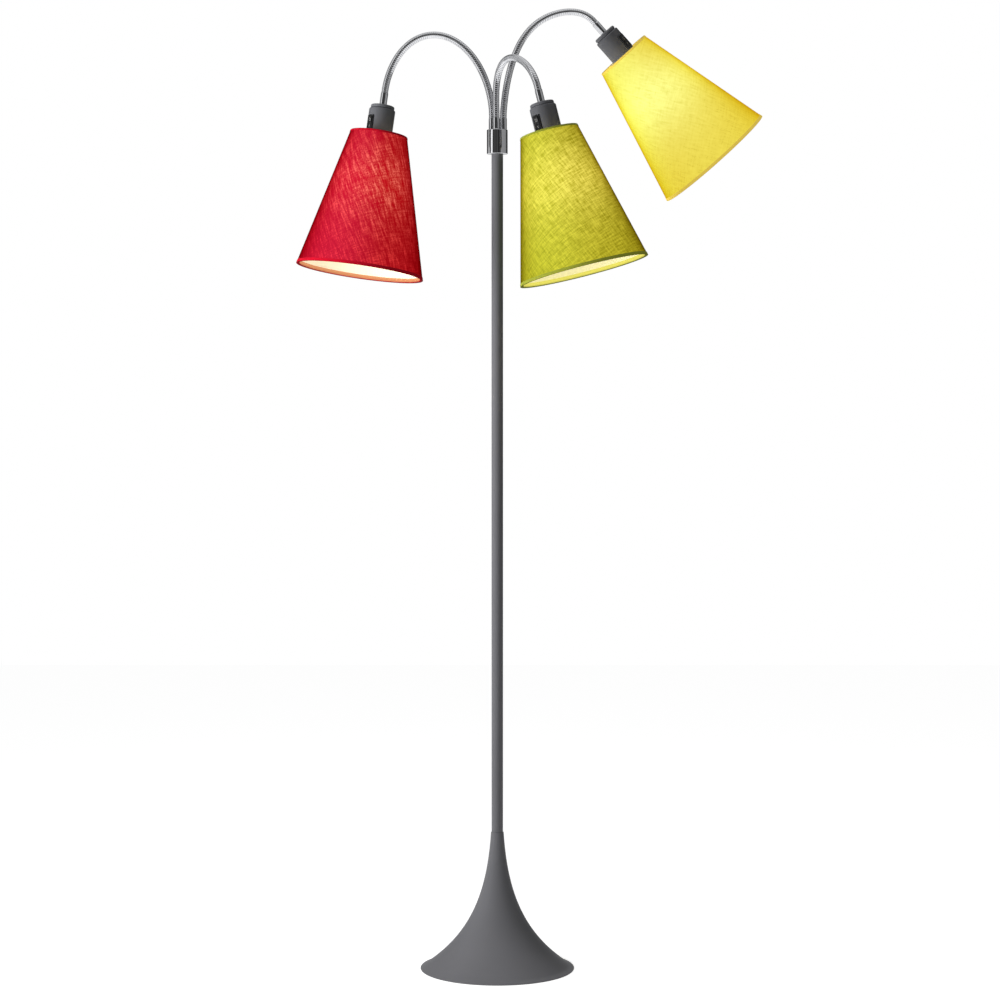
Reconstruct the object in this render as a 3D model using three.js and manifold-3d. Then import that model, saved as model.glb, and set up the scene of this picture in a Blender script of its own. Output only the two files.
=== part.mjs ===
// Tree floor lamp: a weighted trumpet base, a pole, and three gooseneck arms with cone shades.
// Millimetres and degrees, +Z up. The origin is the middle of the underside of the base,
// and the front of the lamp looks along -Y.

import * as THREE from "three";
import { mergeVertices } from "three/addons/utils/BufferGeometryUtils.js";
import Module from "manifold-3d";

const wasm = await Module();
wasm.setup();

// Clearances
const seatGap = 0.3; // between pieces that rest on each other or are screwed together
const runGap = 0.25; // round a shaft that turns
const overrun = 2; // how far a cutter reaches past what it cuts

// Base: a spun trumpet shell over a cast weight, on a soft pad
const padThickness = 3;
const shellWall = 1.5;
const lipHeight = 7; // where the flare turns into the lip
const lipReach = 10.2; // how far the rolled lip stands out from the end of the flare
const lipBead = 1.3; // radius of the rolled edge
const rimLift = 0.8; // the lip stands this far above the floor
const neckHeight = 216; // top of the shell's neck
const flareReach = 134.2; // the flare's radius is reach * exp(-z / fall) - inset + taper * z
const flareFall = 85.6;
const flareInset = 13.3;
const flareTaperShare = 0.058;
const weightTop = 24;
const tieHoleRadius = 4.3;
const nutPocketRadius = 14;
const nutPocketDepth = 10;

// Tie rod that pulls the pole down on the weight
const tieRodRadius = tieHoleRadius - seatGap;
const tieRodBelowNut = 1;
const nutHeight = 8;
const nutFlange = 2;
const nutRadius = 7.5;
const nutFlangeRadius = 10;
const insertLength = 20;
const tieRodInInsert = 14;

// Pole
const poleRadius = 9;
const poleWall = 1.2;
const poleLeadRadius = 2.8;
const leadHoleRadius = 6;
const leadHoleHeight = 65;

// Cable inlet in the back of the lip
const grommetRadius = 4.3;
const grommetHeight = 10;
const grommetLength = 22;
const grommetBevel = 0.8;
const grommetInset = 1; // its end lies this far inside the lip's widest place
const channelWidth = 9.4; // slot in the weight for the lead
const channelFloor = grommetHeight - grommetRadius - seatGap;
const channelReachShare = 0.47; // how near the middle the slot comes, from the grommet's front
const leadInset = 3; // the lead's end lies this far inside the grommet's back

// The stand's lead, from the grommet's front up to the hole in the pole: shares of the distance
// behind the middle and of the rise. Inside the pole it turns up, in shares of the pole's radius.
const leadClimbShares = [
  [1, 0], [0.88, 0.036], [0.735, 0.145], [0.572, 0.345], [0.388, 0.6], [0.225, 0.818],
  [0.112, 0.945],
];
const leadTurnShares = [[0.667, 0.222], [0.278, 1.111], [0.067, 2.222], [0, 3.556]];

// Collar on top of the pole
const collarFloor = 1276.6; // height of its underside
const collarHeight = 37.6;
const collarRadius = 16.25;
const collarBevel = 0.8;
const collarBossHeight = 12;
const collarPlate = 4;
const chamberRadius = 15;
const collarScrewRadius = 1.8;
const terminalHeight = 9;

// Ferrules at both ends of each gooseneck
const ferruleRadius = 5.6;
const ferruleLength = 18.3;
const headFerruleRadius = 5.75;
const headFerruleLength = 20;
const ferruleBevel = 0.6;
const ferruleBore = 2.2;
const ferruleNeckRadius = 3.6;
const ferruleFlangeRadius = 4.7;
const ferruleFlange = 2;
const spigotRadius = 2.5;
const spigotLength = 6;
const ferruleCircle = 10; // radius of the circle that the three ferrules stand on

// Goosenecks and their leads
const neckRadius = 5.25;
const neckGroove = 0.6; // depth of the grooves between ribs
const neckBore = spigotRadius + seatGap;
const ribPitch = 6.2;
const ribCrestShare = 0.6; // from groove to crest and back, as a share of the pitch
const ribsPerBoreRing = 2;
const neckStraight = 2 * neckRadius; // straight run at each end
const leadRadius = 1.5;

// Lampholder, measured along its own axis from the shade's top edge
const coverRadius = 20.5;
const coverInner = 18.5;
const coverTop = 39.3;
const coverRound = 2.5;
const coverPlate = 2.5;
const threadRadius = 19.5; // the cover's threaded end, below its shoulder
const threadEnd = 14; // how far the threaded end reaches into the shade
const shoulderDrop = 2;
const capRadius = 17.25;
const capHeight = 5.4;
const capRound = 1.6;
const socketRadius = 15.2;
const socketTop = 30;
const socketEnd = 16;
const socketFlange = 2.6;
const socketBore = 13.6;
const socketBoreTop = 14;
const clampRingOuter = 24.5;
const clampRingThickness = 2;
const nutOuter = 25.5;
const shadeNutHeight = 6.4;

// Rocker switch in the side of the lampholder
const switchWidth = 14;
const switchTop = 26.5;
const switchBottom = 1.5;
const switchBack = 16; // distance of its back from the holder's axis
const switchFace = 20.9;
const switchBackWall = 1.2;
const switchFrame = 2.2; // border round the rocker
const rockerGap = 0.4;
const rockerPivot = 19.6;
const rockerEndRise = 2; // the rocker's ends stand this far out from its pivot
const rockerMiddleRise = 1.3;
const rockerKeel = 1.5;
const rockerEndDrop = 0.5;
const rockerKeelHalf = 3;
const rockerTilt = 5; // degrees, pressed at its lower end
const pinRadius = 0.8;
const pinLength = 1.4;

// Shade: a laminated cone on two wire rings
const shadeTopRadius = 45;
const shadeBottomRadius = 100;
const shadeHeight = 218.5;
const shadeWall = 1;
const hemWidth = 3.4;
const hemRise = 0.45;
const wireRadius = 1.5;
const spokeRadius = 1.25;
const spokeCount = 3;

// Bulb
const bulbScrewRadius = socketBore - seatGap;
const bulbContactRadius = 4.5;
const bulbContact = 1.7;
const bulbOpening = 2.2;
const bulbWall = 1.1;
const bulbScrewLength = 28;
const bulbRadius = 30;
const bulbMiddle = 66; // its widest place, below the shade's top edge
const bulbNeckShare = 0.3; // how far its straight neck runs towards its widest place

// Sides of round pieces
const wideSides = 28;
const middleSides = 20;
const smallSides = 12;
const neckSides = 8;
const leadSides = 6;
const wireSides = 4;
const flareSteps = 8;
const weightSteps = 3;
const bulbSteps = 4;

// Sizes that several pieces share
const rimRadius = flareRadius(lipHeight) + lipReach;
const grommetBack = rimRadius - grommetInset;
const grommetFront = grommetBack - grommetLength;
const weightFloor = padThickness + seatGap;
const nutTop = weightFloor + nutPocketDepth - seatGap;
const poleFoot = weightTop + seatGap;
const poleBore = poleRadius - poleWall;
const poleTop = collarFloor + collarBossHeight;
const terminalFloor = poleTop + seatGap;
const terminalTop = terminalFloor + terminalHeight;
const collarTop = collarFloor + collarHeight;
const ferruleTop = collarTop + ferruleLength;
const capTop = coverTop + seatGap + capHeight;
const headFerruleTop = capTop + headFerruleLength;
const clampTop = -shoulderDrop - seatGap;
const clampFloor = clampTop - clampRingThickness;
const bulbScrewTop = socketBoreTop - seatGap - bulbContact;

// The three arms as they stand. footAngle is the ferrule's place round the collar, lean turns
// the shade to the right and nod towards the front. The rest are shares of armReach: headShare
// is the middle of the shade's top edge from the pole's axis and the ferrules' tops, and the
// gooseneck is parted at a point out along the arm, splitReachShare from its foot and
// splitRiseShare above it, where it climbs at splitSlope. pullShares are the lengths of the
// handles of its two curves.
const armReach = 200;
const arms = [
  {
    name: "red", colour: 0xc8142d, footAngle: 140, lean: -7.9, nod: 3.8,
    headShare: { right: -0.9255, back: 0.114, up: -0.1115 },
    splitReachShare: 0.3585, splitRiseShare: 0.625, splitSlope: 20,
    pullShares: [0.06, 0.25, 0.23, 0.17], switchAngle: -50,
  },
  {
    name: "green", colour: 0xc8cd3c, footAngle: -100, lean: 14.2, nod: 2.3,
    headShare: { right: 0.391, back: -0.5, up: -0.1565 },
    splitReachShare: 0.187, splitRiseShare: 0.432, splitSlope: 5.7,
    pullShares: [0.04, 0.16, 0.075, 0.09], switchAngle: -45,
  },
  {
    name: "yellow", colour: 0xfaeb64, footAngle: 20, lean: 42.3, nod: -5.6,
    headShare: { right: 0.987, back: 0.2505, up: 0.525 },
    splitReachShare: 0.2205, splitRiseShare: 0.6895, splitSlope: 43,
    pullShares: [0.04, 0.17, 0.24, 0.07], switchAngle: 48,
  },
];

// Finishes
const greyPaint = { color: 0x7d7f80, roughness: 0.45, metalness: 0.1 };
const chrome = { color: 0xd8d8dc, roughness: 0.12, metalness: 1 };
const castIron = { color: 0x2c2c2e, roughness: 0.8, metalness: 0.6 };
const steel = { color: 0xa9abae, roughness: 0.35, metalness: 1 };
const darkRubber = { color: 0x1c1c1d, roughness: 0.9, metalness: 0 };
const holderGrey = { color: 0x77797c, roughness: 0.4, metalness: 0.2 };
const blackPlastic = { color: 0x101012, roughness: 0.3, metalness: 0 };
const ceramic = { color: 0xe9e6de, roughness: 0.5, metalness: 0 };
const opalGlass = { color: 0xfff4d8, roughness: 0.35, metalness: 0 };
const whiteWire = { color: 0xe6e4df, roughness: 0.45, metalness: 0.3 };
const leadWhite = { color: 0xdedbd2, roughness: 0.6, metalness: 0 };
const cloth = { roughness: 0.85, metalness: 0 };

// Shared helpers

const radians = THREE.MathUtils.degToRad;

// A named mesh with its own material.
function piece(name, geometry, finish) {
  const mesh = new THREE.Mesh(geometry, new THREE.MeshStandardMaterial(finish));
  mesh.name = name;
  return mesh;
}

// A turned piece about the Z axis, from an outline of [radius, height] points that either
// closes on itself or starts and ends on the axis.
function turned(outline, sides = middleSides) {
  const points = outline.map(([radius, height]) => new THREE.Vector2(radius, height));
  if (THREE.ShapeUtils.isClockWise(points)) points.reverse();
  if (points[0].x !== 0) points.push(points[0].clone());
  return new THREE.LatheGeometry(points, sides).rotateX(Math.PI / 2);
}

// Turns a piece made along +Z to lie along +Y, towards the back.
function alongBack(geometry) {
  return geometry.rotateX(-Math.PI / 2);
}

// A cylinder along Z between two heights.
function rod(radius, low, high, sides = smallSides) {
  const geometry = new THREE.CylinderGeometry(radius, radius, high - low, sides);
  return geometry.rotateX(Math.PI / 2).translate(0, 0, (low + high) / 2);
}

// A box from its lowest and highest corners.
function block(low, high) {
  const size = new THREE.Vector3(...high).sub(new THREE.Vector3(...low));
  const middle = new THREE.Vector3(...low).addScaledVector(size, 1 / 2);
  return new THREE.BoxGeometry(size.x, size.y, size.z).translate(middle.x, middle.y, middle.z);
}

// A closed geometry as a solid that can be joined and cut.
function solid(geometry) {
  const bare = geometry.clone();
  bare.deleteAttribute("normal");
  bare.deleteAttribute("uv");
  const merged = mergeVertices(bare);
  const corners = merged.index.array;
  const triangles = [];
  for (let i = 0; i < corners.length; i += 3) {
    const [a, b, c] = corners.slice(i, i + 3);
    if (a !== b && b !== c && c !== a) triangles.push(a, b, c);
  }
  return new wasm.Manifold(new wasm.Mesh({
    numProp: 3,
    vertProperties: merged.attributes.position.array,
    triVerts: new Uint32Array(triangles),
  }));
}

// The geometry of a solid.
function skin(shape) {
  const mesh = shape.getMesh();
  const geometry = new THREE.BufferGeometry();
  geometry.setAttribute("position", new THREE.BufferAttribute(mesh.vertProperties, mesh.numProp));
  geometry.setIndex(new THREE.BufferAttribute(mesh.triVerts, 1));
  geometry.computeVertexNormals();
  return geometry;
}

// A geometry less its cutters.
function cut(geometry, cutters) {
  return skin(cutters.reduce((shape, cutter) => shape.subtract(solid(cutter)), solid(geometry)));
}

// Several geometries joined into one.
function joined(geometries) {
  return skin(geometries.map(solid).reduce((shape, next) => shape.add(next)));
}

// A tube along a line, from rings of points. Each ring has a place along the line from 0 to 1
// and a radius. Without a bore its ends are flat discs, and with one they are flat rings.
// side is a direction that the line never follows, which keeps the rings from twisting.
function tubeAlong(line, side, sides, outerRings, boreRings = null) {
  const positions = [];
  const faces = [];
  const addRing = ({ at, radius }) => {
    const centre = line.getPoint(at);
    const along = line.getTangent(at);
    const across = side.clone().addScaledVector(along, -side.dot(along)).normalize();
    const other = along.clone().cross(across);
    const first = positions.length / 3;
    for (let i = 0; i < sides; i += 1) {
      const angle = (2 * Math.PI * i) / sides;
      const point = centre.clone()
        .addScaledVector(across, radius * Math.cos(angle))
        .addScaledVector(other, radius * Math.sin(angle));
      positions.push(...point);
    }
    return first;
  };
  const bridge = (from, to) => {
    for (let i = 0; i < sides; i += 1) {
      const next = (i + 1) % sides;
      faces.push(from + i, from + next, to + i);
      faces.push(from + next, to + next, to + i);
    }
  };
  const disc = (ring, at, facesBack) => {
    const middle = positions.length / 3;
    positions.push(...line.getPoint(at));
    for (let i = 0; i < sides; i += 1) {
      const next = (i + 1) % sides;
      const [a, b] = facesBack ? [next, i] : [i, next];
      faces.push(middle, ring + a, ring + b);
    }
  };
  const outer = outerRings.map(addRing);
  outer.slice(1).forEach((ring, i) => bridge(outer[i], ring));
  if (boreRings) {
    const bore = boreRings.map(addRing).reverse();
    bore.slice(1).forEach((ring, i) => bridge(bore[i], ring));
    bridge(outer.at(-1), bore[0]);
    bridge(bore.at(-1), outer[0]);
  } else {
    disc(outer[0], 0, true);
    disc(outer.at(-1), 1, false);
  }
  const geometry = new THREE.BufferGeometry();
  geometry.setAttribute("position", new THREE.Float32BufferAttribute(positions, 3));
  geometry.setIndex(faces);
  geometry.computeVertexNormals();
  return geometry;
}

// A straight-sided line through a list of points.
function pathThrough(corners) {
  const path = new THREE.CurvePath();
  corners.slice(1).forEach((corner, i) => path.add(new THREE.LineCurve3(corners[i], corner)));
  return path;
}

// A plain round lead with a ring at each corner of its path.
function leadAlong(path, side, radius) {
  const lengths = [0, ...path.getCurveLengths()];
  const rings = lengths.map((length) => ({ at: length / lengths.at(-1), radius }));
  return tubeAlong(path, side, leadSides, rings);
}

// Base

// Outer radius of the trumpet at a height above the lip.
function flareRadius(height) {
  return flareReach * Math.exp(-height / flareFall) - flareInset + flareTaperShare * height;
}

// A point under the trumpet's skin, as deep as given along the skin's normal.
function flarePoint(height, depth) {
  const slope = flareTaperShare - (flareReach / flareFall) * Math.exp(-height / flareFall);
  const length = Math.hypot(1, slope);
  return [flareRadius(height) - depth / length, height + (depth * slope) / length];
}

// Heights along the flare, closer together where it curves most.
function flareHeights(low, high, steps) {
  return Array.from({ length: steps + 1 }, (_, i) => low + (high - low) * (i / steps) ** 2);
}

function baseShell() {
  const heights = flareHeights(lipHeight, neckHeight, flareSteps);
  const outer = heights.map((height) => flarePoint(height, 0)).reverse();
  const inner = heights.map((height) => flarePoint(height, shellWall))
    .map(([radius, height]) => [Math.max(radius, poleRadius + seatGap), height]);
  const [innerTopRadius] = inner.at(-1);
  const beadHeight = rimLift + lipBead;
  const beadRadius = rimRadius - lipBead;
  const lip = [
    [(outer.at(-1)[0] + beadRadius) / 2, (lipHeight + beadHeight + lipBead) / 2],
    [beadRadius, beadHeight + lipBead], [rimRadius, beadHeight],
    [beadRadius, rimLift], [beadRadius - lipBead, rimLift],
  ];
  const outline = [...outer, ...lip, ...inner.slice(0, -1), [innerTopRadius, neckHeight]];
  const inlet = alongBack(rod(grommetRadius + seatGap, grommetFront, rimRadius + overrun))
    .translate(0, 0, grommetHeight);
  return piece("base_shell", cut(turned(outline, wideSides), [inlet]), greyPaint);
}

function basePad() {
  const [padRadius] = flarePoint(lipHeight, shellWall + seatGap);
  return piece("base_pad", rod(padRadius, 0, padThickness, wideSides), darkRubber);
}

function baseWeight() {
  const depth = shellWall + seatGap;
  const side = flareHeights(lipHeight, weightTop + depth, weightSteps)
    .map((height) => flarePoint(height, depth));
  const pocketTop = weightFloor + nutPocketDepth;
  const outline = [
    [nutPocketRadius, pocketTop], [nutPocketRadius, weightFloor], [side[0][0], weightFloor],
    ...side.slice(1, -1), [side.at(-1)[0], weightTop],
    [tieHoleRadius, weightTop], [tieHoleRadius, pocketTop],
  ];
  const channel = block(
    [-channelWidth / 2, grommetFront * channelReachShare, channelFloor],
    [channelWidth / 2, rimRadius, weightTop + overrun],
  );
  return piece("base_weight", cut(turned(outline, wideSides), [channel]), castIron);
}

function tieNut() {
  const bore = tieRodRadius + seatGap;
  const outline = [
    [bore, nutTop - nutHeight], [nutRadius, nutTop - nutHeight], [nutRadius, nutTop - nutFlange],
    [nutFlangeRadius, nutTop - nutFlange], [nutFlangeRadius, nutTop], [bore, nutTop],
  ];
  return piece("tie_nut", turned(outline, smallSides), steel);
}

function tieRod() {
  const low = nutTop - nutHeight - tieRodBelowNut;
  return piece("tie_rod", rod(tieRodRadius, low, poleFoot + tieRodInInsert), steel);
}

function cableGrommet() {
  const bore = poleLeadRadius + seatGap;
  const outline = [
    [bore, grommetFront], [grommetRadius, grommetFront],
    [grommetRadius, grommetBack - grommetBevel],
    [grommetRadius - grommetBevel, grommetBack], [bore, grommetBack],
  ];
  const geometry = alongBack(turned(outline, smallSides)).translate(0, 0, grommetHeight);
  return piece("cable_grommet", geometry, darkRubber);
}

// Pole

function pole() {
  const outline = [
    [poleBore, poleFoot], [poleRadius, poleFoot], [poleRadius, poleTop], [poleBore, poleTop],
  ];
  const leadHole = alongBack(rod(leadHoleRadius, 0, poleRadius + overrun))
    .translate(0, 0, leadHoleHeight);
  return piece("pole", cut(turned(outline), [leadHole]), greyPaint);
}

function poleInsert() {
  const radius = poleBore - seatGap;
  const top = poleFoot + insertLength;
  const outline = [
    [tieHoleRadius, poleFoot], [radius, poleFoot], [radius, top], [tieHoleRadius, top],
  ];
  return piece("pole_insert", turned(outline, smallSides), steel);
}

// The lead inside the stand: in at the grommet, along the weight's slot, through the hole in
// the pole and up to the terminals. Each point is its distance behind the middle and height.
function poleLead() {
  const rise = leadHoleHeight - grommetHeight;
  const route = [
    [grommetBack - leadInset, grommetHeight],
    ...leadClimbShares.map(([back, up]) => [grommetFront * back, grommetHeight + rise * up]),
    ...leadTurnShares.map(([back, up]) => [poleRadius * back, leadHoleHeight + poleRadius * up]),
    [0, poleTop - seatGap],
  ];
  const path = pathThrough(route.map(([back, height]) => new THREE.Vector3(0, back, height)));
  return piece("pole_lead", leadAlong(path, new THREE.Vector3(1, 0, 0), poleLeadRadius), leadWhite);
}

// Collar

// Where an arm's ferrule stands on the collar.
function footPlace(arm) {
  const angle = radians(arm.footAngle);
  return new THREE.Vector3(ferruleCircle * Math.cos(angle), ferruleCircle * Math.sin(angle), 0);
}

function collar() {
  const bore = poleRadius + seatGap;
  const plateFloor = collarHeight - collarPlate;
  const outline = [
    [0, plateFloor], [chamberRadius, plateFloor], [chamberRadius, collarBossHeight],
    [bore, collarBossHeight], [bore, 0], [collarRadius - collarBevel, 0],
    [collarRadius, collarBevel], [collarRadius, collarHeight - collarBevel],
    [collarRadius - collarBevel, collarHeight], [0, collarHeight],
  ];
  const screwHole = alongBack(rod(collarScrewRadius + seatGap, 0, collarRadius + overrun))
    .translate(0, 0, collarBossHeight / 2);
  const ferruleHoles = arms.map((arm) => {
    const hole = rod(ferruleNeckRadius + runGap, plateFloor - overrun, collarHeight + overrun);
    return hole.translate(...footPlace(arm));
  });
  const mesh = piece("collar", cut(turned(outline, wideSides), [screwHole, ...ferruleHoles]), chrome);
  mesh.position.z = collarFloor;
  return mesh;
}

function collarScrew() {
  const geometry = alongBack(rod(collarScrewRadius, poleRadius + seatGap, collarRadius + collarBevel));
  const mesh = piece("collar_screw", geometry, steel);
  mesh.position.z = collarFloor + collarBossHeight / 2;
  return mesh;
}

function terminalBlock() {
  return piece("terminal_block", rod(chamberRadius - seatGap, terminalFloor, terminalTop), ceramic);
}

// Ferrules

// A ferrule that stands on a plate and turns in its hole. Height 0 is the plate's top.
function ferrule(radius, length, plate) {
  const flangeTop = -plate - seatGap;
  const flangeFloor = flangeTop - ferruleFlange;
  const spigotTop = length + spigotLength;
  return turned([
    [ferruleBore, flangeFloor], [ferruleFlangeRadius, flangeFloor], [ferruleFlangeRadius, flangeTop],
    [ferruleNeckRadius, flangeTop], [ferruleNeckRadius, seatGap], [radius, seatGap],
    [radius, length - ferruleBevel], [radius - ferruleBevel, length], [spigotRadius, length],
    [spigotRadius, spigotTop], [ferruleBore, spigotTop],
  ], smallSides);
}

// Goosenecks

// The frame of a lampholder and its shade. Its origin is the middle of the shade's top edge,
// and its +Z runs up the holder's axis.
function headFrame({ headShare, nod, lean }) {
  const turn = new THREE.Euler(-radians(nod), -radians(lean), 0, "YXZ");
  const frame = new THREE.Matrix4().makeRotationFromEuler(turn);
  const { right, back, up } = headShare;
  return frame.setPosition(armReach * right, armReach * back, ferruleTop + armReach * up);
}

// Half a gooseneck's centre line: straight for one diameter at both ends, curved between.
function halfLine(from, fromWay, to, toWay, fromPull, toPull) {
  const start = from.clone().addScaledVector(fromWay, neckStraight);
  const end = to.clone().addScaledVector(toWay, -neckStraight);
  const startHandle = start.clone().addScaledVector(fromWay, fromPull);
  const endHandle = end.clone().addScaledVector(toWay, -toPull);
  const line = new THREE.CurvePath();
  line.add(new THREE.LineCurve3(from, start));
  line.add(new THREE.CubicBezierCurve3(start, startHandle, endHandle, end));
  line.add(new THREE.LineCurve3(end, to));
  return line;
}

// Both halves of a gooseneck, which meet square to each other at its split.
function neckLines(arm) {
  const frame = headFrame(arm);
  const up = new THREE.Vector3(0, 0, 1);
  const foot = footPlace(arm).setZ(ferruleTop + seatGap);
  const end = new THREE.Vector3(0, 0, headFerruleTop + seatGap).applyMatrix4(frame);
  const heading = end.clone().sub(foot).setZ(0).normalize();
  const slope = radians(arm.splitSlope);
  const splitWay = heading.clone().multiplyScalar(Math.cos(slope))
    .addScaledVector(up, Math.sin(slope));
  const split = foot.clone().addScaledVector(heading, armReach * arm.splitReachShare)
    .addScaledVector(up, armReach * arm.splitRiseShare);
  const lowerEnd = split.clone().addScaledVector(splitWay, -seatGap / 2);
  const upperStart = split.clone().addScaledVector(splitWay, seatGap / 2);
  const endWay = up.clone().transformDirection(frame).negate();
  const [footPull, lowerPull, upperPull, endPull] = arm.pullShares
    .map((share) => armReach * share);
  return {
    lower: halfLine(foot, up, lowerEnd, splitWay, footPull, lowerPull),
    upper: halfLine(upperStart, splitWay, end, endWay, upperPull, endPull),
    side: heading.clone().cross(up),
  };
}

// Places of the bore's rings along half a gooseneck.
function boreStations(line) {
  const steps = Math.round(line.getLength() / ribPitch / ribsPerBoreRing);
  return Array.from({ length: steps + 1 }, (_, i) => i / steps);
}

// Half a gooseneck: each rib is a raised crest between two grooves.
function ribbedHalf(line, side) {
  const ribs = Math.round(line.getLength() / ribPitch);
  const groove = neckRadius - neckGroove;
  const rings = Array.from({ length: ribs }, (_, rib) => {
    const middle = (rib + 1 / 2) / ribs;
    const half = ribCrestShare / ribs / 2;
    const crest = { at: middle, radius: neckRadius };
    return [{ at: middle - half, radius: groove }, crest];
  }).flat();
  const ends = [{ at: 0, radius: neckRadius }, { at: 1, radius: groove }];
  const bore = boreStations(line).map((at) => ({ at, radius: neckBore }));
  return tubeAlong(line, side, neckSides, [ends[0], ...rings, ends[1]], bore);
}

// The lead inside half a gooseneck, with a straight tail past the neck's outer end.
function neckLead(line, side, tailBefore, tailAfter) {
  const inside = boreStations(line).map((at) => line.getPoint(at));
  return leadAlong(pathThrough([...tailBefore, ...inside, ...tailAfter]), side, leadRadius);
}

// Lampholder, in the head's frame

function holderCap() {
  const floor = coverTop + seatGap;
  const hole = ferruleNeckRadius + runGap;
  return turned([
    [hole, floor], [capRadius, floor], [capRadius, capTop - capRound],
    [capRadius - capRound, capTop], [hole, capTop],
  ]);
}

function holderCover(arm) {
  const hole = ferruleNeckRadius + runGap;
  const plateFloor = coverTop - coverPlate;
  const outline = [
    [hole, plateFloor], [coverInner, plateFloor], [coverInner, -threadEnd],
    [threadRadius, -threadEnd], [threadRadius, -shoulderDrop], [coverRadius, -shoulderDrop],
    [coverRadius, coverTop - coverRound], [coverRadius - coverRound, coverTop], [hole, coverTop],
  ];
  const half = switchWidth / 2 + seatGap;
  const window = block(
    [-half, -coverRadius - overrun, switchBottom - seatGap], [half, -switchBack, switchTop + seatGap],
  ).rotateZ(radians(arm.switchAngle));
  return cut(turned(outline), [window]);
}

function socket() {
  const seat = coverInner - seatGap;
  const footTop = socketFlange - threadEnd;
  const headFloor = socketTop - socketFlange;
  return turned([
    [0, socketBoreTop], [socketBore, socketBoreTop], [socketBore, -socketEnd],
    [socketRadius, -socketEnd], [socketRadius, -threadEnd], [seat, -threadEnd], [seat, footTop],
    [socketRadius, footTop], [socketRadius, headFloor], [seat, headFloor], [seat, socketTop],
    [0, socketTop],
  ], smallSides);
}

// The ring that screws up the cover's thread and clamps the shade's fitter to the shoulder.
function shadeNut() {
  const bore = threadRadius + seatGap;
  const top = clampFloor - seatGap;
  return turned([
    [bore, top - shadeNutHeight], [nutOuter, top - shadeNutHeight], [nutOuter, top], [bore, top],
  ]);
}

// Rocker switch, in the head's frame, turned to the side of the holder that it is on

const rockerWidth = switchWidth - 2 * (switchFrame + rockerGap);
const rockerHalf = (switchTop - switchBottom) / 2 - switchFrame - rockerGap;
const rockerHeight = (switchTop + switchBottom) / 2;

// Moves a piece made about the rocker's pivot to its place in the holder.
function atPivot(geometry, arm) {
  return geometry.translate(0, -rockerPivot, rockerHeight).rotateZ(radians(arm.switchAngle));
}

// The pins about the rocker's hinge, as one bar across it.
function pinBar(radius, reach) {
  const half = rockerWidth / 2 + reach;
  return rod(radius, -half, half, smallSides / 2).rotateY(Math.PI / 2);
}

function switchHousing(arm) {
  const half = switchWidth / 2;
  const window = half - switchFrame;
  const body = block([-half, rockerPivot - switchFace, switchBottom - rockerHeight],
    [half, rockerPivot - switchBack, switchTop - rockerHeight]);
  const recess = block(
    [-window, rockerPivot - switchFace - overrun, switchBottom + switchFrame - rockerHeight],
    [window, rockerPivot - switchBack - switchBackWall, switchTop - switchFrame - rockerHeight],
  );
  return atPivot(cut(body, [recess, pinBar(pinRadius + runGap, pinLength + runGap)]), arm);
}

function switchRocker(arm) {
  const outline = new THREE.Shape([
    [-rockerHalf, rockerEndRise], [-rockerHalf, -rockerEndDrop], [-rockerKeelHalf, -rockerKeel],
    [rockerKeelHalf, -rockerKeel], [rockerHalf, -rockerEndDrop], [rockerHalf, rockerEndRise],
    [0, rockerMiddleRise],
  ].map(([along, out]) => new THREE.Vector2(along, out)));
  const body = new THREE.ExtrudeGeometry(outline, { depth: rockerWidth, bevelEnabled: false })
    .translate(0, 0, -rockerWidth / 2);
  const standing = new THREE.Matrix4().makeBasis(
    new THREE.Vector3(0, 0, 1), new THREE.Vector3(0, -1, 0), new THREE.Vector3(1, 0, 0),
  );
  const rocker = joined([body.applyMatrix4(standing), pinBar(pinRadius, pinLength)]);
  return atPivot(rocker.rotateX(radians(rockerTilt)), arm);
}

// Shade, in the head's frame

const shadeSpread = (shadeBottomRadius - shadeTopRadius) / shadeHeight;
const shadeSecant = Math.hypot(1, shadeSpread);

// Radius of the shade's hems at a depth below its top edge.
function hemRadius(depth) {
  return shadeTopRadius + shadeSpread * depth;
}

// Radius of a wire ring that lies inside the shade's wall.
function wireRing(depth) {
  return hemRadius(depth) - hemRise - (shadeWall + seatGap + wireRadius) * shadeSecant;
}

function shade() {
  const wall = hemRise + shadeWall * shadeSecant;
  const hemFloor = shadeHeight - hemWidth;
  return turned([
    [hemRadius(0) - wall, 0], [hemRadius(shadeHeight) - wall, -shadeHeight],
    [shadeBottomRadius, -shadeHeight], [hemRadius(hemFloor), -hemFloor],
    [hemRadius(hemFloor) - hemRise, -hemFloor], [hemRadius(hemWidth) - hemRise, -hemWidth],
    [hemRadius(hemWidth), -hemWidth], [shadeTopRadius, 0],
  ], wideSides);
}

function wireLoop(depth) {
  const loop = new THREE.TorusGeometry(wireRing(depth), wireRadius, wireSides, wideSides);
  return loop.translate(0, 0, -depth);
}

// The upper wire ring, its spokes and the flat ring that the nut clamps.
function shadeFitter() {
  const ringDepth = wireRadius + seatGap;
  const bore = threadRadius + seatGap;
  const clampRing = turned([
    [bore, clampFloor], [clampRingOuter, clampFloor], [clampRingOuter, clampTop], [bore, clampTop],
  ]);
  const inner = new THREE.Vector3(clampRingOuter - spokeRadius, 0, (clampFloor + clampTop) / 2);
  const outer = new THREE.Vector3(wireRing(ringDepth), 0, -ringDepth);
  const spokes = Array.from({ length: spokeCount }, (_, i) => {
    const spoke = leadAlong(pathThrough([inner, outer]), new THREE.Vector3(0, 1, 0), spokeRadius);
    return spoke.rotateZ((2 * Math.PI * i) / spokeCount);
  });
  return joined([clampRing, wireLoop(ringDepth), ...spokes]);
}

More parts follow.
